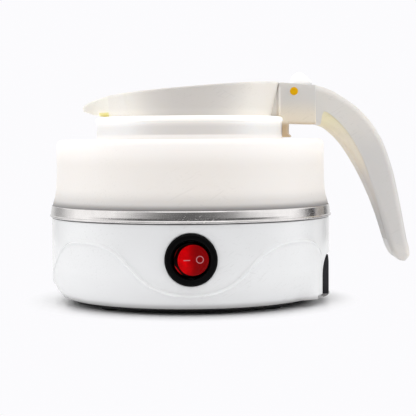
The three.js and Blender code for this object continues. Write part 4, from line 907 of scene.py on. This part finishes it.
RIM_LINE = ((-56.0, 94.6), (-54.0, 95.3), (-51.5, 96.9), (-49.0, 97.9), (-44.0, 99.4), (-38.9, 100.4),
            (-30.0, 101.4), (-19.3, 102.25), (0.0, 103.7), (19.3, 105.2), (38.6, 106.7), (46.0, 107.2))
RING_COLUMNS = 384
RIM_DROP = 0.9
RIM_SECTION = ((0.55, 0.08), (0.83, 0.27), (RIM_DROP, 0.5), (0.83, 0.73), (0.55, 0.92))
RING_LEVELS = np.concatenate([[0, 0.004, 0.012, 0.03, 0.06], np.linspace(0.1, 1, 20)])
RING_SKIRT = ((38.9, 89.4, 0.6), (41.6, 86.4, 0.8), (41.8, 82.5, 0.4), (44.0, 82.5, 0.5), (44.0, 89.7, 0.3),
              (41.1, 89.8, 0.3))
FORK_SIDE = ((43.4, 90.5, 0.8), (46.4, 86.5, 1.2), (SEAM_X + 0.35, 86.0, 0.7), (SEAM_X + 0.35, 105.25, 0.7),
             (52.0, 106.1, 3), (43.4, 106.5, 0.8))
FORK_SLOT_HALF = 7.9
STRAP_TURN = 14.6
STRAP_SECTION = ((NECK_ROOM_RADIUS, 79.7, 0.2), (50.4, 79.7, 0.4), (50.4, 80.4, 0.35), (49.3, 81.4, 0.8),
                 (49.3, 88.6, 0), (NECK_ROOM_RADIUS, 88.6, 0))
PIN_PROFILE = ((0, -12.35, 0), (1.3, -12.35, 0.5), (2.0, -12.0, 0.3), (2.0, -11.9, 0), (1.9, -11.8, 0),
               (1.9, 11.8, 0), (2.0, 11.9, 0), (2.0, 12.0, 0.3), (1.3, 12.35, 0.5), (0, 12.35, 0))


def cone_radius(z):
    """The ring's outer radius at each height, away from the beak."""
    return RING_FOOT_RADIUS + RING_SLOPE * (z - RING_FOOT_Z)


def beak_reach(turns):
    """How far the beak's plan outline lies from the axis at each angle, where the beak is."""
    away = np.abs(turns % (2 * math.pi) - math.pi)
    crease, tip = np.array([38.6, 19.0]), np.array([54.6, 1.2])
    dx, dy = tip - crease
    bottom = np.cos(away) * dy - np.sin(away) * dx
    line = (crease[0] * dy - crease[1] * dx) / np.where(np.abs(bottom) < 1e-6, 1e-6, bottom)
    line = np.where((line > 0) & (away < 0.8), line, 0)
    round_tip = 53.5 - 0.5 * (53.5 * away / 2.4) ** 2 * 0.35
    return np.where(away < 0.12, np.minimum(line, np.maximum(round_tip, 48)), line)


class KETTLE_OT_spout_ring(bpy.types.Operator):
    """Makes the spout ring with its beak, the fork for the hinge, and the strap behind the neck"""

    bl_idname = "kettle.spout_ring"
    bl_label = "Spout ring"

    def execute(self, context):
        turns = angles_of(RING_COLUMNS)
        reach = beak_reach(turns)
        plain = cone_radius(RIM_Z)
        outer_rim = 0.5 * (plain + reach + np.sqrt((plain - reach) ** 2 + 1.6 ** 2))
        outer_rim = np.where(reach > 0, outer_rim, plain)
        rim_z = np.interp(outer_rim * np.cos(turns), *zip(*RIM_LINE))
        extra = np.maximum(outer_rim, cone_radius(rim_z)) - cone_radius(rim_z)
        beaky = smooth_step(extra, 0.3, 3.0)
        wall = RING_WALL + (BEAK_WALL - RING_WALL) * beaky
        fold_z = rim_z - RIM_DROP
        full = 1 - 0.42 * smooth_step(extra, 7.0, 12.0)

        def side(share, floor_z, inset):
            z = floor_z + (fold_z - floor_z) * share
            grown = np.maximum(extra - 0.25 * inset * beaky, 0)
            return cone_radius(z) + grown * np.minimum(share / full, 1) ** 0.5 - inset, z

        places = [side(share, RING_FOOT_Z, 0) for share in RING_LEVELS]
        places += [(cone_radius(fold_z) + extra - wall * part, fold_z + lift) for lift, part in RIM_SECTION]
        places += [side(share, RING_FOOT_Z + 1.5 * beaky, wall) for share in RING_LEVELS[::-1]]
        ring = skin("spout_ring_piece", round_rows(turns, places + rounded(RING_SKIRT, 3)), "loop")

        web = block("web", (36.6, -9.5, RING_FOOT_Z), (46.0, 9.5, 105.6))
        inside = [(0, 80), (38.9, 89.2), (cone_radius(104.5) - RING_WALL, 104.5), (44.5, 112), (0, 112)]
        carve(web, turned("inside", inside, 96))
        carve(ring, web, "UNION")

        fork = prism("fork", rounded(FORK_SIDE, 6), "Y", -BRACKET_HALF, BRACKET_HALF, 0.6, 4)
        band = rounded(STRAP_SECTION, 3)
        strap = skin("strap", [[(r * math.cos(a), r * math.sin(a), z) for r, z in band]
                               for a in np.radians(np.linspace(-STRAP_TURN, STRAP_TURN, 24))])
        carve(fork, strap, "UNION")
        carve(fork, rod("neck_room", NECK_ROOM_RADIUS, "Z", (0, 0), 70, RING_FOOT_Z, 192))
        carve(fork, block("fork_slot", (40, -FORK_SLOT_HALF, 91.2), (66, FORK_SLOT_HALF, 112)))
        carve(fork, block("tongue_room", (50.2, -8.3, 87.4), (66, 8.3, 89.9)))
        for y in GRIP_SCREW_SIDES:
            carve(fork, rod("screw_bore", 1.3, "Z", (GRIP_SCREW_X, y), 84, 90.9, 24))
            carve(fork, rod("screw_seat", 2.15, "Z", (GRIP_SCREW_X, y), 84, 86.75, 32))
        carve(fork, rod("pin_bore", FORK_BORE_RADIUS, "Y", PIN_PLACE, -20, 20, 48))
        carve(ring, fork, "UNION")
        carve(ring, block("arm_room", (30, -FORK_SLOT_HALF, 97.4), (46.6, FORK_SLOT_HALF, 112)))
        dress(ring, "upper", "ring_white", ["spout_ring"], "spout_white", sharp=34, even=True)

        piece = turned("golden_pin", rounded(PIN_PROFILE, 4), 48)
        x, z = PIN_PLACE
        piece.data.transform(shifted(x, 0, z) @ Matrix.Rotation(math.pi / 2, 4, "X"))
        dress(piece, "upper", "pin_yellow", ["hinge_pin"])
        return {"FINISHED"}


# Lid. Its profiles are measured from the plane of its top, which leans as the rim does.

LID_PROFILE = ((0, -2, 0), (36, -2, 0.3), (36, -5, 0.5), (37.6, -5, 0.5), (37.6, -2, 0.2), (40.9, -2, 0.3),
               (41.3, -1.2, 0.6), (41.0, 0, 0.8), (34.4, 0, 0.5), (33.6, -0.5, 0.5), (0, -0.35, 0))
LINING_PROFILE = ((0, -3.8, 0), (30, -3.8, 0.5), (31, -3.5, 0.5), (34.6, -3.5, 0.3), (35.7, -3.1, 0.4),
                  (35.7, -2.3, 0.2), (0, -2.3, 0))
GASKET_PROFILE = ((37.9, -4.1, 0.3), (38.8, -3.7, 0.4), (38.8, -2.8, 0.4), (37.9, -2.3, 0.3))

KNUCKLE_RADIUS = 4.1
ARM_HALF, KNUCKLE_HALF, TAB_HALF = 6.9, 7.0, 6.95

# The thumb tab's corners are measured from the pin.
TAB_CORNERS = ((-2, 0, 0), (3.3, 1.6, 1), (9.3, 3.5, 0.6), (9.3, 4.7, 0.6), (6.9, 7.1, 3), (4.4, 9.1, 3),
               (1.8, 9.3, 1.6), (0.2, 7.6, 1.4), (-0.4, 4.2, 1.5))


def lid_top(x):
    return LID_LEVEL + RIM_RISE * x


class KETTLE_OT_lid(bpy.types.Operator):
    """Makes the lid with its arm and thumb tab, its inner plate and its seal"""

    bl_idname = "kettle.lid"
    bl_label = "Lid"

    def execute(self, context):
        lean = shifted(0, 0, LID_LEVEL) @ Matrix.Rotation(-LID_TILT, 4, "Y")
        lid = turned("lid_shell", rounded(LID_PROFILE, 4), 192)
        carve(lid, block("spout_notch", (-40, -12, -8), (-18, 12, -2)))
        lid.data.transform(lean)
        px, pz = PIN_PLACE
        side = [(34, lid_top(34) - 2), (39.1, lid_top(39.1) - 2), (39.4, lid_top(39.4) - 3.4), (px, pz - 2.4),
                (px, pz + 3.6), (46, lid_top(46) + 0.1), (34, lid_top(34))]
        arm = prism("arm", side, "Y", -ARM_HALF, ARM_HALF, 0.5)
        knuckle = circle(KNUCKLE_RADIUS, 64, PIN_PLACE)
        carve(arm, prism("knuckle", knuckle, "Y", -KNUCKLE_HALF, KNUCKLE_HALF, 0.5), "UNION")
        tab = rounded([(px + x, pz + z, radius) for x, z, radius in TAB_CORNERS], 4)
        carve(arm, prism("tab", tab, "Y", -TAB_HALF, TAB_HALF, 0.55, 4), "UNION")
        carve(lid, arm, "UNION")
        carve(lid, rod("pin_bore", LID_BORE_RADIUS, "Y", PIN_PLACE, -12, 12, 48))
        dress(lid, "lid", "ring_white", ["lid_cover"], "lid_white", sharp=35, even=True)
        for name, profile, slot, node in (("lid_lining", LINING_PROFILE, "ring_white", "lid_inner_plate"),
                                          ("lid_gasket", GASKET_PROFILE, "body_silicone", "lid_seal")):
            piece = turned(name, rounded(profile, 4), 160)
            piece.data.transform(lean)
            dress(piece, "lid", slot, [node])
        return {"FINISHED"}


# Handle

HANDLE_REACH = 47.7
HANDLE_DROP = 87.3
HANDLE_TOP_Z = 105.3
HANDLE_HALF_TOP, HANDLE_HALF_END = BRACKET_HALF, 9.5
HANDLE_CORNER = 3.2
HANDLE_ROWS = 110

# The last rings round the handle's end: the share of its section, and how far past it in mm
HANDLE_TIP = ((0.86, 0.35), (0.6, 0.62), (0.25, 0.75))

# The edges of the side view, as shares of the handle's reach and of its drop from the bracket's seam
OUTER_SHARES = ((0.006, 0.002), (0.105, 0.016), (0.23, 0.048), (0.472, 0.143), (0.66, 0.272), (0.790, 0.445),
                (0.884, 0.662), (0.957, 0.868), (0.990, 0.945), (0.987, 0.981), (0.958, 0.999))
INNER_SHARES = ((0.006, 0.22), (0.073, 0.229), (0.136, 0.247), (0.283, 0.324), (0.43, 0.447), (0.551, 0.577),
                (0.66, 0.724), (0.75, 0.878), (0.785, 0.931), (0.828, 0.972), (0.885, 0.995))

# The grip's depth at each of these stations, as a share of the handle's
GRIP_DEPTH_SHARES = (0.2, 0.37, 0.37, 0.30, 0.23, 0.15, 0.07, 0.02, 0, 0, 0)

# The stations where the grip starts and ends, and the gap round it
GRIP_START, GRIP_END = 0.72, 7
GRIP_GAP = 0.3


def smooth_curve(points, t):
    """A place on a centripetal curve through some points, at a share from 0 to 1."""
    points = [np.asarray(p, float) for p in points]
    spot = t * (len(points) - 1)
    i = min(int(spot), len(points) - 2)
    w = spot - i
    p1, p2 = points[i], points[i + 1]
    p0 = points[i - 1] if i > 0 else 2 * p1 - p2
    p3 = points[i + 2] if i + 2 < len(points) else 2 * p2 - p1
    d0, d1, d2 = (max(np.linalg.norm(b - a), 1e-4) ** 0.5 for a, b in ((p0, p1), (p1, p2), (p2, p3)))
    m1 = ((p1 - p0) / d0 - (p2 - p0) / (d0 + d1) + (p2 - p1) / d1) * d1
    m2 = ((p2 - p1) / d1 - (p3 - p1) / (d1 + d2) + (p3 - p2) / d2) * d1
    return ((2 * w ** 3 - 3 * w ** 2 + 1) * p1 + (w ** 3 - 2 * w ** 2 + w) * m1
            + (3 * w ** 2 - 2 * w ** 3) * p2 + (w ** 3 - w ** 2) * m2)


def handle_edges(t):
    """The outer and inner edge of the handle's side view at one station, as (x, z)."""
    return [smooth_curve([(SEAM_X + HANDLE_REACH * u, HANDLE_TOP_Z - HANDLE_DROP * v) for u, v in shares], t)
            for shares in (OUTER_SHARES, INNER_SHARES)]


def handle_section(t, inset):
    """A rounded section between the handle's two edges."""
    outer, inner = handle_edges(t)
    depth = np.linalg.norm(outer - inner)
    along = (outer - inner) / depth
    tip = float(smooth_step(np.array(t), 1 - 2 / len(OUTER_SHARES), 1))
    half = (HANDLE_HALF_TOP + (HANDLE_HALF_END - HANDLE_HALF_TOP) * t) * (1 - 0.3 * tip) - inset
    edge = min(HANDLE_CORNER, half * 0.6, depth * 0.4)
    outline = rounded([(depth, half, edge), (0, half, edge), (0, -half, edge), (depth, -half, edge)], 8)
    return [(inner[0] + along[0] * a, y, inner[1] + along[1] * a) for a, y in outline]


def handle_body(name, inset):
    """The handle's whole form, with a rounded tip."""
    rows = [handle_section(t, inset) for t in np.linspace(0, 1, HANDLE_ROWS)]
    last = np.array(rows[-1])
    centre = last.mean(0)
    push = centre - np.array(rows[-2]).mean(0)
    push /= np.linalg.norm(push)
    for swell, step in HANDLE_TIP:
        rows.append(centre + (last - centre) * swell + push * step)
    return skin(name, rows)


def grip_region(name, gap):
    """The part of the side view that the grip fills, moved in from its upper edge by a gap."""
    stations = len(OUTER_SHARES) - 1
    first = (GRIP_START + gap * 2 / (HANDLE_DROP / stations)) / stations
    last = GRIP_END / stations
    edge, back = [], []
    for w in np.linspace(0, 1, 60):
        t = first + (last - first) * w
        outer, inner = handle_edges(t)
        end = math.sqrt(max(0.0, 1 - (1 - min(1.0, w / 0.06)) ** 2))
        share = max(0.0, smooth_curve(list(enumerate(GRIP_DEPTH_SHARES)), t)[1]) * end
        along = outer - inner
        unit = along / np.linalg.norm(along)
        edge.append(inner + along * share - unit * gap)
        back.append(inner - unit * 2)
    return prism(name, [tuple(p) for p in edge + back[::-1]], "Y", -14, 14)


class KETTLE_OT_handle(bpy.types.Operator):
    """Makes the curved handle with its grip insert, whose cream colour is painted shade"""

    bl_idname = "kettle.handle"
    bl_label = "Handle"

    def execute(self, context):
        shell = handle_body("handle_outer", 0)
        tongue = prism("tongue", [(50.5, -8), (67.9, -8), (67.9, 8), (50.5, 8)], "Z", 87.7, 89.6, 0.3, 2)
        carve(shell, tongue, "UNION")
        carve(shell, grip_region("grip_room", 0))
        for y in GRIP_SCREW_SIDES:
            carve(shell, rod("screw_bore", 1.3, "Z", (GRIP_SCREW_X, y), 85, 92, 24))
        dress(shell, "upper", "ring_white", ["handle_shell"], sharp=34, even=True)
        grip = handle_body("grip_insert", GRIP_GAP)
        carve(grip, grip_region("grip_shape", -0.03), "INTERSECT")
        dress(grip, "upper", "grip_cream", ["handle_insert"], sharp=34, even=True)
        return {"FINISHED"}


# Switch and inlet. The switch's pieces are made about Z, and then turned to face -Y.

ROCKER_TILT = math.radians(8.0)
ROCKER_PUSH = -1.9
ROCKER_FACE_Z = 3.7
ROCKER_DISH = 80.0
AXLE_RADIUS, AXLE_BORE_RADIUS, AXLE_HALF = 0.9, 1.2, 8.9
MARK_RADIUS, MARK_RISE, MARK_SINK = 1.75, 0.22, 0.2
MARK_HALF = 1.5
BEZEL_PROFILE = ((0, -13, 0), (10, -13, 0.4), (10, 0, 0), (12.0, 0, 0.15), (12.0, 0.7, 0.6), (11.2, 1.5, 0.9),
                 (9.3, 1.5, 0.6), (8.7, 0.8, 0.5), (8.45, -7.5, 0.3), (0, -7.5, 0))
FACE_RADII = (0.0, 0.8, 1.6, 2.4, 3.2, 4.0, 4.8, 5.6, 6.3)
BUTTON_RIM = ((6.7, 0.06, 1), (6.9, 0.2, 1), (7.0, 0.45, 1), (7.05, 1.9, 0.96), (7.15, 2.3, 0.86),
              (7.5, 2.45, 0.4), (7.8, 2.55, 0.1), (7.95, 2.8, 0), (7.95, 4.6, 0))
BUTTON_BACK = ((6.6, -1.6), (5.5, -3.0), (3.0, -3.6), (0.0, -3.6))


def to_switch(piece, tilt=0.0, push=0.0):
    """Moves a piece made about Z to the switch, facing -Y."""
    turn = Matrix.Rotation(math.pi / 2, 4, "X")
    piece.data.transform(shifted(*SWITCH_PLACE) @ turn @ shifted(0, 0, push) @ Matrix.Rotation(tilt, 4, "Y"))


class KETTLE_OT_switch(bpy.types.Operator):
    """Makes the round switch: its bezel, and the red rocker with its two marks"""

    bl_idname = "kettle.switch"
    bl_label = "Switch"

    def execute(self, context):
        piece = turned("switch_bezel", rounded(BEZEL_PROFILE, 6), 128)
        for y in (-AXLE_HALF, AXLE_HALF - 0.8):
            carve(piece, block("axle_rib", (-1.4, y, -6.5), (1.4, y + 0.8, 0.2)), "UNION")
        to_switch(piece)
        x, y, z = SWITCH_PLACE
        carve(piece, rod("axle_bore", AXLE_BORE_RADIUS, "Z", (x, y - ROCKER_PUSH), z - 9.5, z + 9.5, 24))
        dress(piece, "base", "switch_black", ["switch_body"], sharp=50)

        turns = angles_of(128)

        def face(radius, drop=0.0, aside=1.0):
            x = radius * np.cos(turns) + 0.5 * aside
            return np.stack([x, radius * np.sin(turns), ROCKER_FACE_Z + x * x / ROCKER_DISH - drop], 1)

        rows = [face(radius) for radius in FACE_RADII] + [face(*place) for place in BUTTON_RIM]
        button = skin("rocker", rows + round_rows(turns, BUTTON_BACK), "point")
        carve(button, rod("axle", AXLE_RADIUS, "Y", (0, 0), -AXLE_HALF, AXLE_HALF, 24), "UNION")
        to_switch(button, ROCKER_TILT, ROCKER_PUSH)
        dress(button, "rocker", "rocker_red", ["rocker_button"], sharp=50)

        stroke = context.scene.kettle_sizes.mark_stroke / MM
        off = turned("mark_off", [(MARK_RADIUS, MARK_RISE), (MARK_RADIUS - stroke, MARK_RISE),
                                  (MARK_RADIUS - stroke, -MARK_SINK), (MARK_RADIUS, -MARK_SINK)], 64)
        on = block("mark_on", (-MARK_HALF, -stroke / 2, -MARK_SINK), (MARK_HALF, stroke / 2, MARK_RISE))
        for mark, x, y, lean in ((off, 3.5, 0.25, -5.0), (on, -2.45, 0.0, 3.5)):
            seat = shifted(x, y, ROCKER_FACE_Z - 0.18 + x * x / ROCKER_DISH)
            mark.data.transform(seat @ Matrix.Rotation(math.radians(lean), 4, "Y"))
            to_switch(mark, ROCKER_TILT, ROCKER_PUSH)
            dress(mark, "rocker", "rocker_red", finish="rocker_mark")
        return {"FINISHED"}


BLADE_PLACES = ((-7, 10.5), (0, 14.5), (7, 10.5))
SLIT_HALF_WIDTH, SLIT_HALF_HEIGHT = 1.2, 2.2


class KETTLE_OT_inlet(bpy.types.Operator):
    """Makes the mains inlet, open to its three blades"""

    bl_idname = "kettle.inlet"
    bl_label = "Inlet"

    def execute(self, context):
        face = INLET_FACE_X
        body = prism("inlet_socket", inlet_outline(0, 0.8), "X", face - 5.9, face, 0.5)
        carve(body, prism("sleeve", inlet_outline(-1.6, 0.6), "X", face - 17, face - 2), "UNION")
        carve(body, prism("hollow", inlet_outline(-3.0, 0.8), "X", face - 15, face + 3))
        for y, z in BLADE_PLACES:
            carve(body, block("slit", (40, y - SLIT_HALF_WIDTH, z - SLIT_HALF_HEIGHT),
                              (face - 12, y + SLIT_HALF_WIDTH, z + SLIT_HALF_HEIGHT)))
        dress(body, "base", "switch_black", ["inlet_body"], "inlet_black", even=True)
        for role in ("line", "earth", "neutral"):
            finish_node(f"inlet_contact_{role}", "contact_brass", 0.4)
        return {"FINISHED"}


class KETTLE_OT_heater(bpy.types.Operator):
    """Finishes the parts inside the base: the heater, its thermostat and fuse, the terminals and the wires"""

    bl_idname = "kettle.heater"
    bl_label = "Heater and wiring"

    def execute(self, context):
        for name, slot, bevel in (
            ("heat_spreader", "spreader_aluminium", 0.3), ("heating_element", "element_steel", 0),
            ("thermostat", "ceramic_white", 0.3), ("thermal_fuse", "ceramic_white", 0.3),
            ("terminal_block", "ceramic_white", 0.5), ("switch_terminal_1", "contact_brass", 0.15),
            ("switch_terminal_2", "contact_brass", 0.15), ("wire_line_in", "wire_brown", 0),
            ("wire_line_out", "wire_brown", 0), ("wire_neutral", "wire_blue", 0),
            ("wire_earth", "wire_green", 0),
        ):
            finish_node(name, slot, bevel)
        return {"FINISHED"}


# Stage. The floor's disc is in millimetres, and the rest in metres.

WHITE = (0.97, 0.965, 0.985, 1)
FLOOR_RADIUS = 440.0
FLOOR_Z = -1.0
WHITE_START, WHITE_FULL = 0.065, 0.085
AIM = Vector((0, 0, 0.05))


def make_floor():
    """The floor: it shows the shadow near the base, plain white further out, and nothing from below."""
    edge = [(x, y, FLOOR_Z) for x, y in circle(FLOOR_RADIUS, 64)]
    floor = piece_from("studio_floor", edge, [tuple(range(64))])
    material, tree, shader = new_material("studio_floor", {
        "Base Color": (0.92, 0.92, 0.93, 1), "Roughness": 0.3, "Specular IOR Level": 0.35})
    away = place(tree, "VectorMath", {0: spot_in(tree)}, operation="LENGTH").outputs["Value"]
    fade = product(tree, mapped(tree, away, WHITE_START, WHITE_FULL, smooth=True),
                   place(tree, "LightPath").outputs["Is Camera Ray"])
    white = place(tree, "Emission", {"Color": WHITE, "Strength": 1.0}).outputs[0]
    seen = place(tree, "MixShader", {0: fade, 1: shader.outputs[0], 2: white}).outputs[0]
    clear = place(tree, "BsdfTransparent").outputs[0]
    below = place(tree, "NewGeometry").outputs["Backfacing"]
    open_below = place(tree, "MixShader", {0: below, 1: seen, 2: clear})
    fill(tree, tree.nodes["Material Output"], {"Surface": open_below.outputs[0]})
    floor.data.materials.append(material)


def make_world(world, surround):
    """The studio's walls: dimmer in front, above and behind, darkest low behind, white to the camera."""
    world.use_nodes = True
    tree = world.node_tree
    axes = place(tree, "SeparateXYZ", {"Vector": place(tree, "TexCoord").outputs["Generated"]}).outputs
    lift = mapped(tree, axes["Z"], -0.1, 0.15, -0.22, 0.33)
    front = mapped(tree, worked(tree, "ADD", axes["Y"], lift), -0.05, -0.75, 1.0, 0.08, smooth=True)
    ahead = mapped(tree, axes["X"], -0.5, 0.5, -0.02, 0.22)
    near = mapped(tree, worked(tree, "ADD", axes["Y"], ahead), 0.25, 0.7, smooth=True)
    past = mapped(tree, axes["Y"], 0.76, 0.97, 1.0, 0.0, smooth=True)
    low = worked(tree, "COMPARE", axes["Z"], 0.0, 0.22)
    depth = mapped(tree, axes["X"], -0.5, 0.5, 0.46, 0.94)
    left = worked(tree, "SUBTRACT", 1.0, product(tree, near, past, low, depth))
    behind = mapped(tree, axes["Y"], 0.15, 0.9, 1.0, 0.68, smooth=True)
    above = mapped(tree, axes["Z"], 0.35, 0.95, 1.0, 0.77, smooth=True)
    background = fill(tree, tree.nodes["Background"], {
        "Color": (1, 1, 1, 1), "Strength": product(tree, behind, above, left, front, surround)})
    white = place(tree, "Background", {"Color": WHITE, "Strength": 1.0})
    path = place(tree, "LightPath").outputs
    clear = worked(tree, "MAXIMUM", path["Is Camera Ray"], path["Is Transmission Ray"])
    mixed = place(tree, "MixShader", {0: clear, 1: background.outputs[0], 2: white.outputs[0]})
    fill(tree, tree.nodes["World Output"], {"Surface": mixed.outputs[0]})


class KETTLE_OT_stage(bpy.types.Operator):
    """Makes the pale floor, the soft light and the camera"""

    bl_idname = "kettle.stage"
    bl_label = "Stage"

    def execute(self, context):
        scene = context.scene
        values = scene.kettle_stage
        scene.view_settings.view_transform = "Standard"

        camera = bpy.data.objects.new("camera", bpy.data.cameras.new("camera"))
        camera.data.lens = values.lens
        camera.data.sensor_width = 36
        camera.data.clip_start = 0.01
        camera.matrix_world = (
            Matrix.Translation(values.eye) @ Matrix.Rotation(-values.turn, 4, "Z")
            @ Matrix.Rotation(math.pi / 2 - values.pitch, 4, "X") @ Matrix.Rotation(values.roll, 4, "Z"))
        scene.collection.objects.link(camera)
        scene.camera = camera

        make_floor()
        for name, power, size, spot in (
            ("side_left", values.side_light, 0.9, (-1.2, -0.28, 0.55)),
            ("side_right", values.side_light, 0.9, (1.2, -0.28, 0.55)),
            ("top", values.top_light, 1.2, (0.0, -0.7, 1.1)),
        ):
            lamp = bpy.data.lights.new(name, "AREA")
            lamp.energy = power
            lamp.shape = "SQUARE"
            lamp.size = size
            light = bpy.data.objects.new(name, lamp)
            light.location = spot
            light.visible_glossy = name == "top"
            light.rotation_euler = (AIM - Vector(spot)).to_track_quat("-Z", "Y").to_euler()
            scene.collection.objects.link(light)
        scene.world = bpy.data.worlds.new("studio")
        make_world(scene.world, values.surround)
        return {"FINISHED"}


STEPS = (
    KETTLE_OT_finishes, KETTLE_OT_housing, KETTLE_OT_base_plate, KETTLE_OT_feet, KETTLE_OT_screws,
    KETTLE_OT_pan, KETTLE_OT_band, KETTLE_OT_silicone, KETTLE_OT_spout_ring, KETTLE_OT_lid,
    KETTLE_OT_handle, KETTLE_OT_switch, KETTLE_OT_inlet, KETTLE_OT_heater, KETTLE_OT_stage,
)


class KETTLE_PT_panel(bpy.types.Panel):
    """Lists the kettle's pieces and values"""

    bl_idname = "KETTLE_PT_panel"
    bl_label = "Kettle"
    bl_space_type = "VIEW_3D"
    bl_region_type = "UI"
    bl_category = "Kettle"

    def draw(self, context):
        for step in STEPS:
            self.layout.operator(step.bl_idname)
        for values in (context.scene.kettle_colours, context.scene.kettle_sizes, context.scene.kettle_stage):
            for name in values.__annotations__:
                self.layout.prop(values, name)


GROUPS = (("kettle_colours", KettleColours), ("kettle_sizes", KettleSizes), ("kettle_stage", KettleStage))


def register():
    for name, group in GROUPS:
        bpy.utils.register_class(group)
        setattr(bpy.types.Scene, name, PointerProperty(type=group))
    for step in STEPS:
        bpy.utils.register_class(step)
    bpy.utils.register_class(KETTLE_PT_panel)


def unregister():
    bpy.utils.unregister_class(KETTLE_PT_panel)
    for step in reversed(STEPS):
        bpy.utils.unregister_class(step)
    for name, group in reversed(GROUPS):
        delattr(bpy.types.Scene, name)
        bpy.utils.unregister_class(group)


def main():
    register()
    for step in STEPS:
        group, name = step.bl_idname.split(".")
        getattr(getattr(bpy.ops, group), name)()


if __name__ == "__main__":
    main()
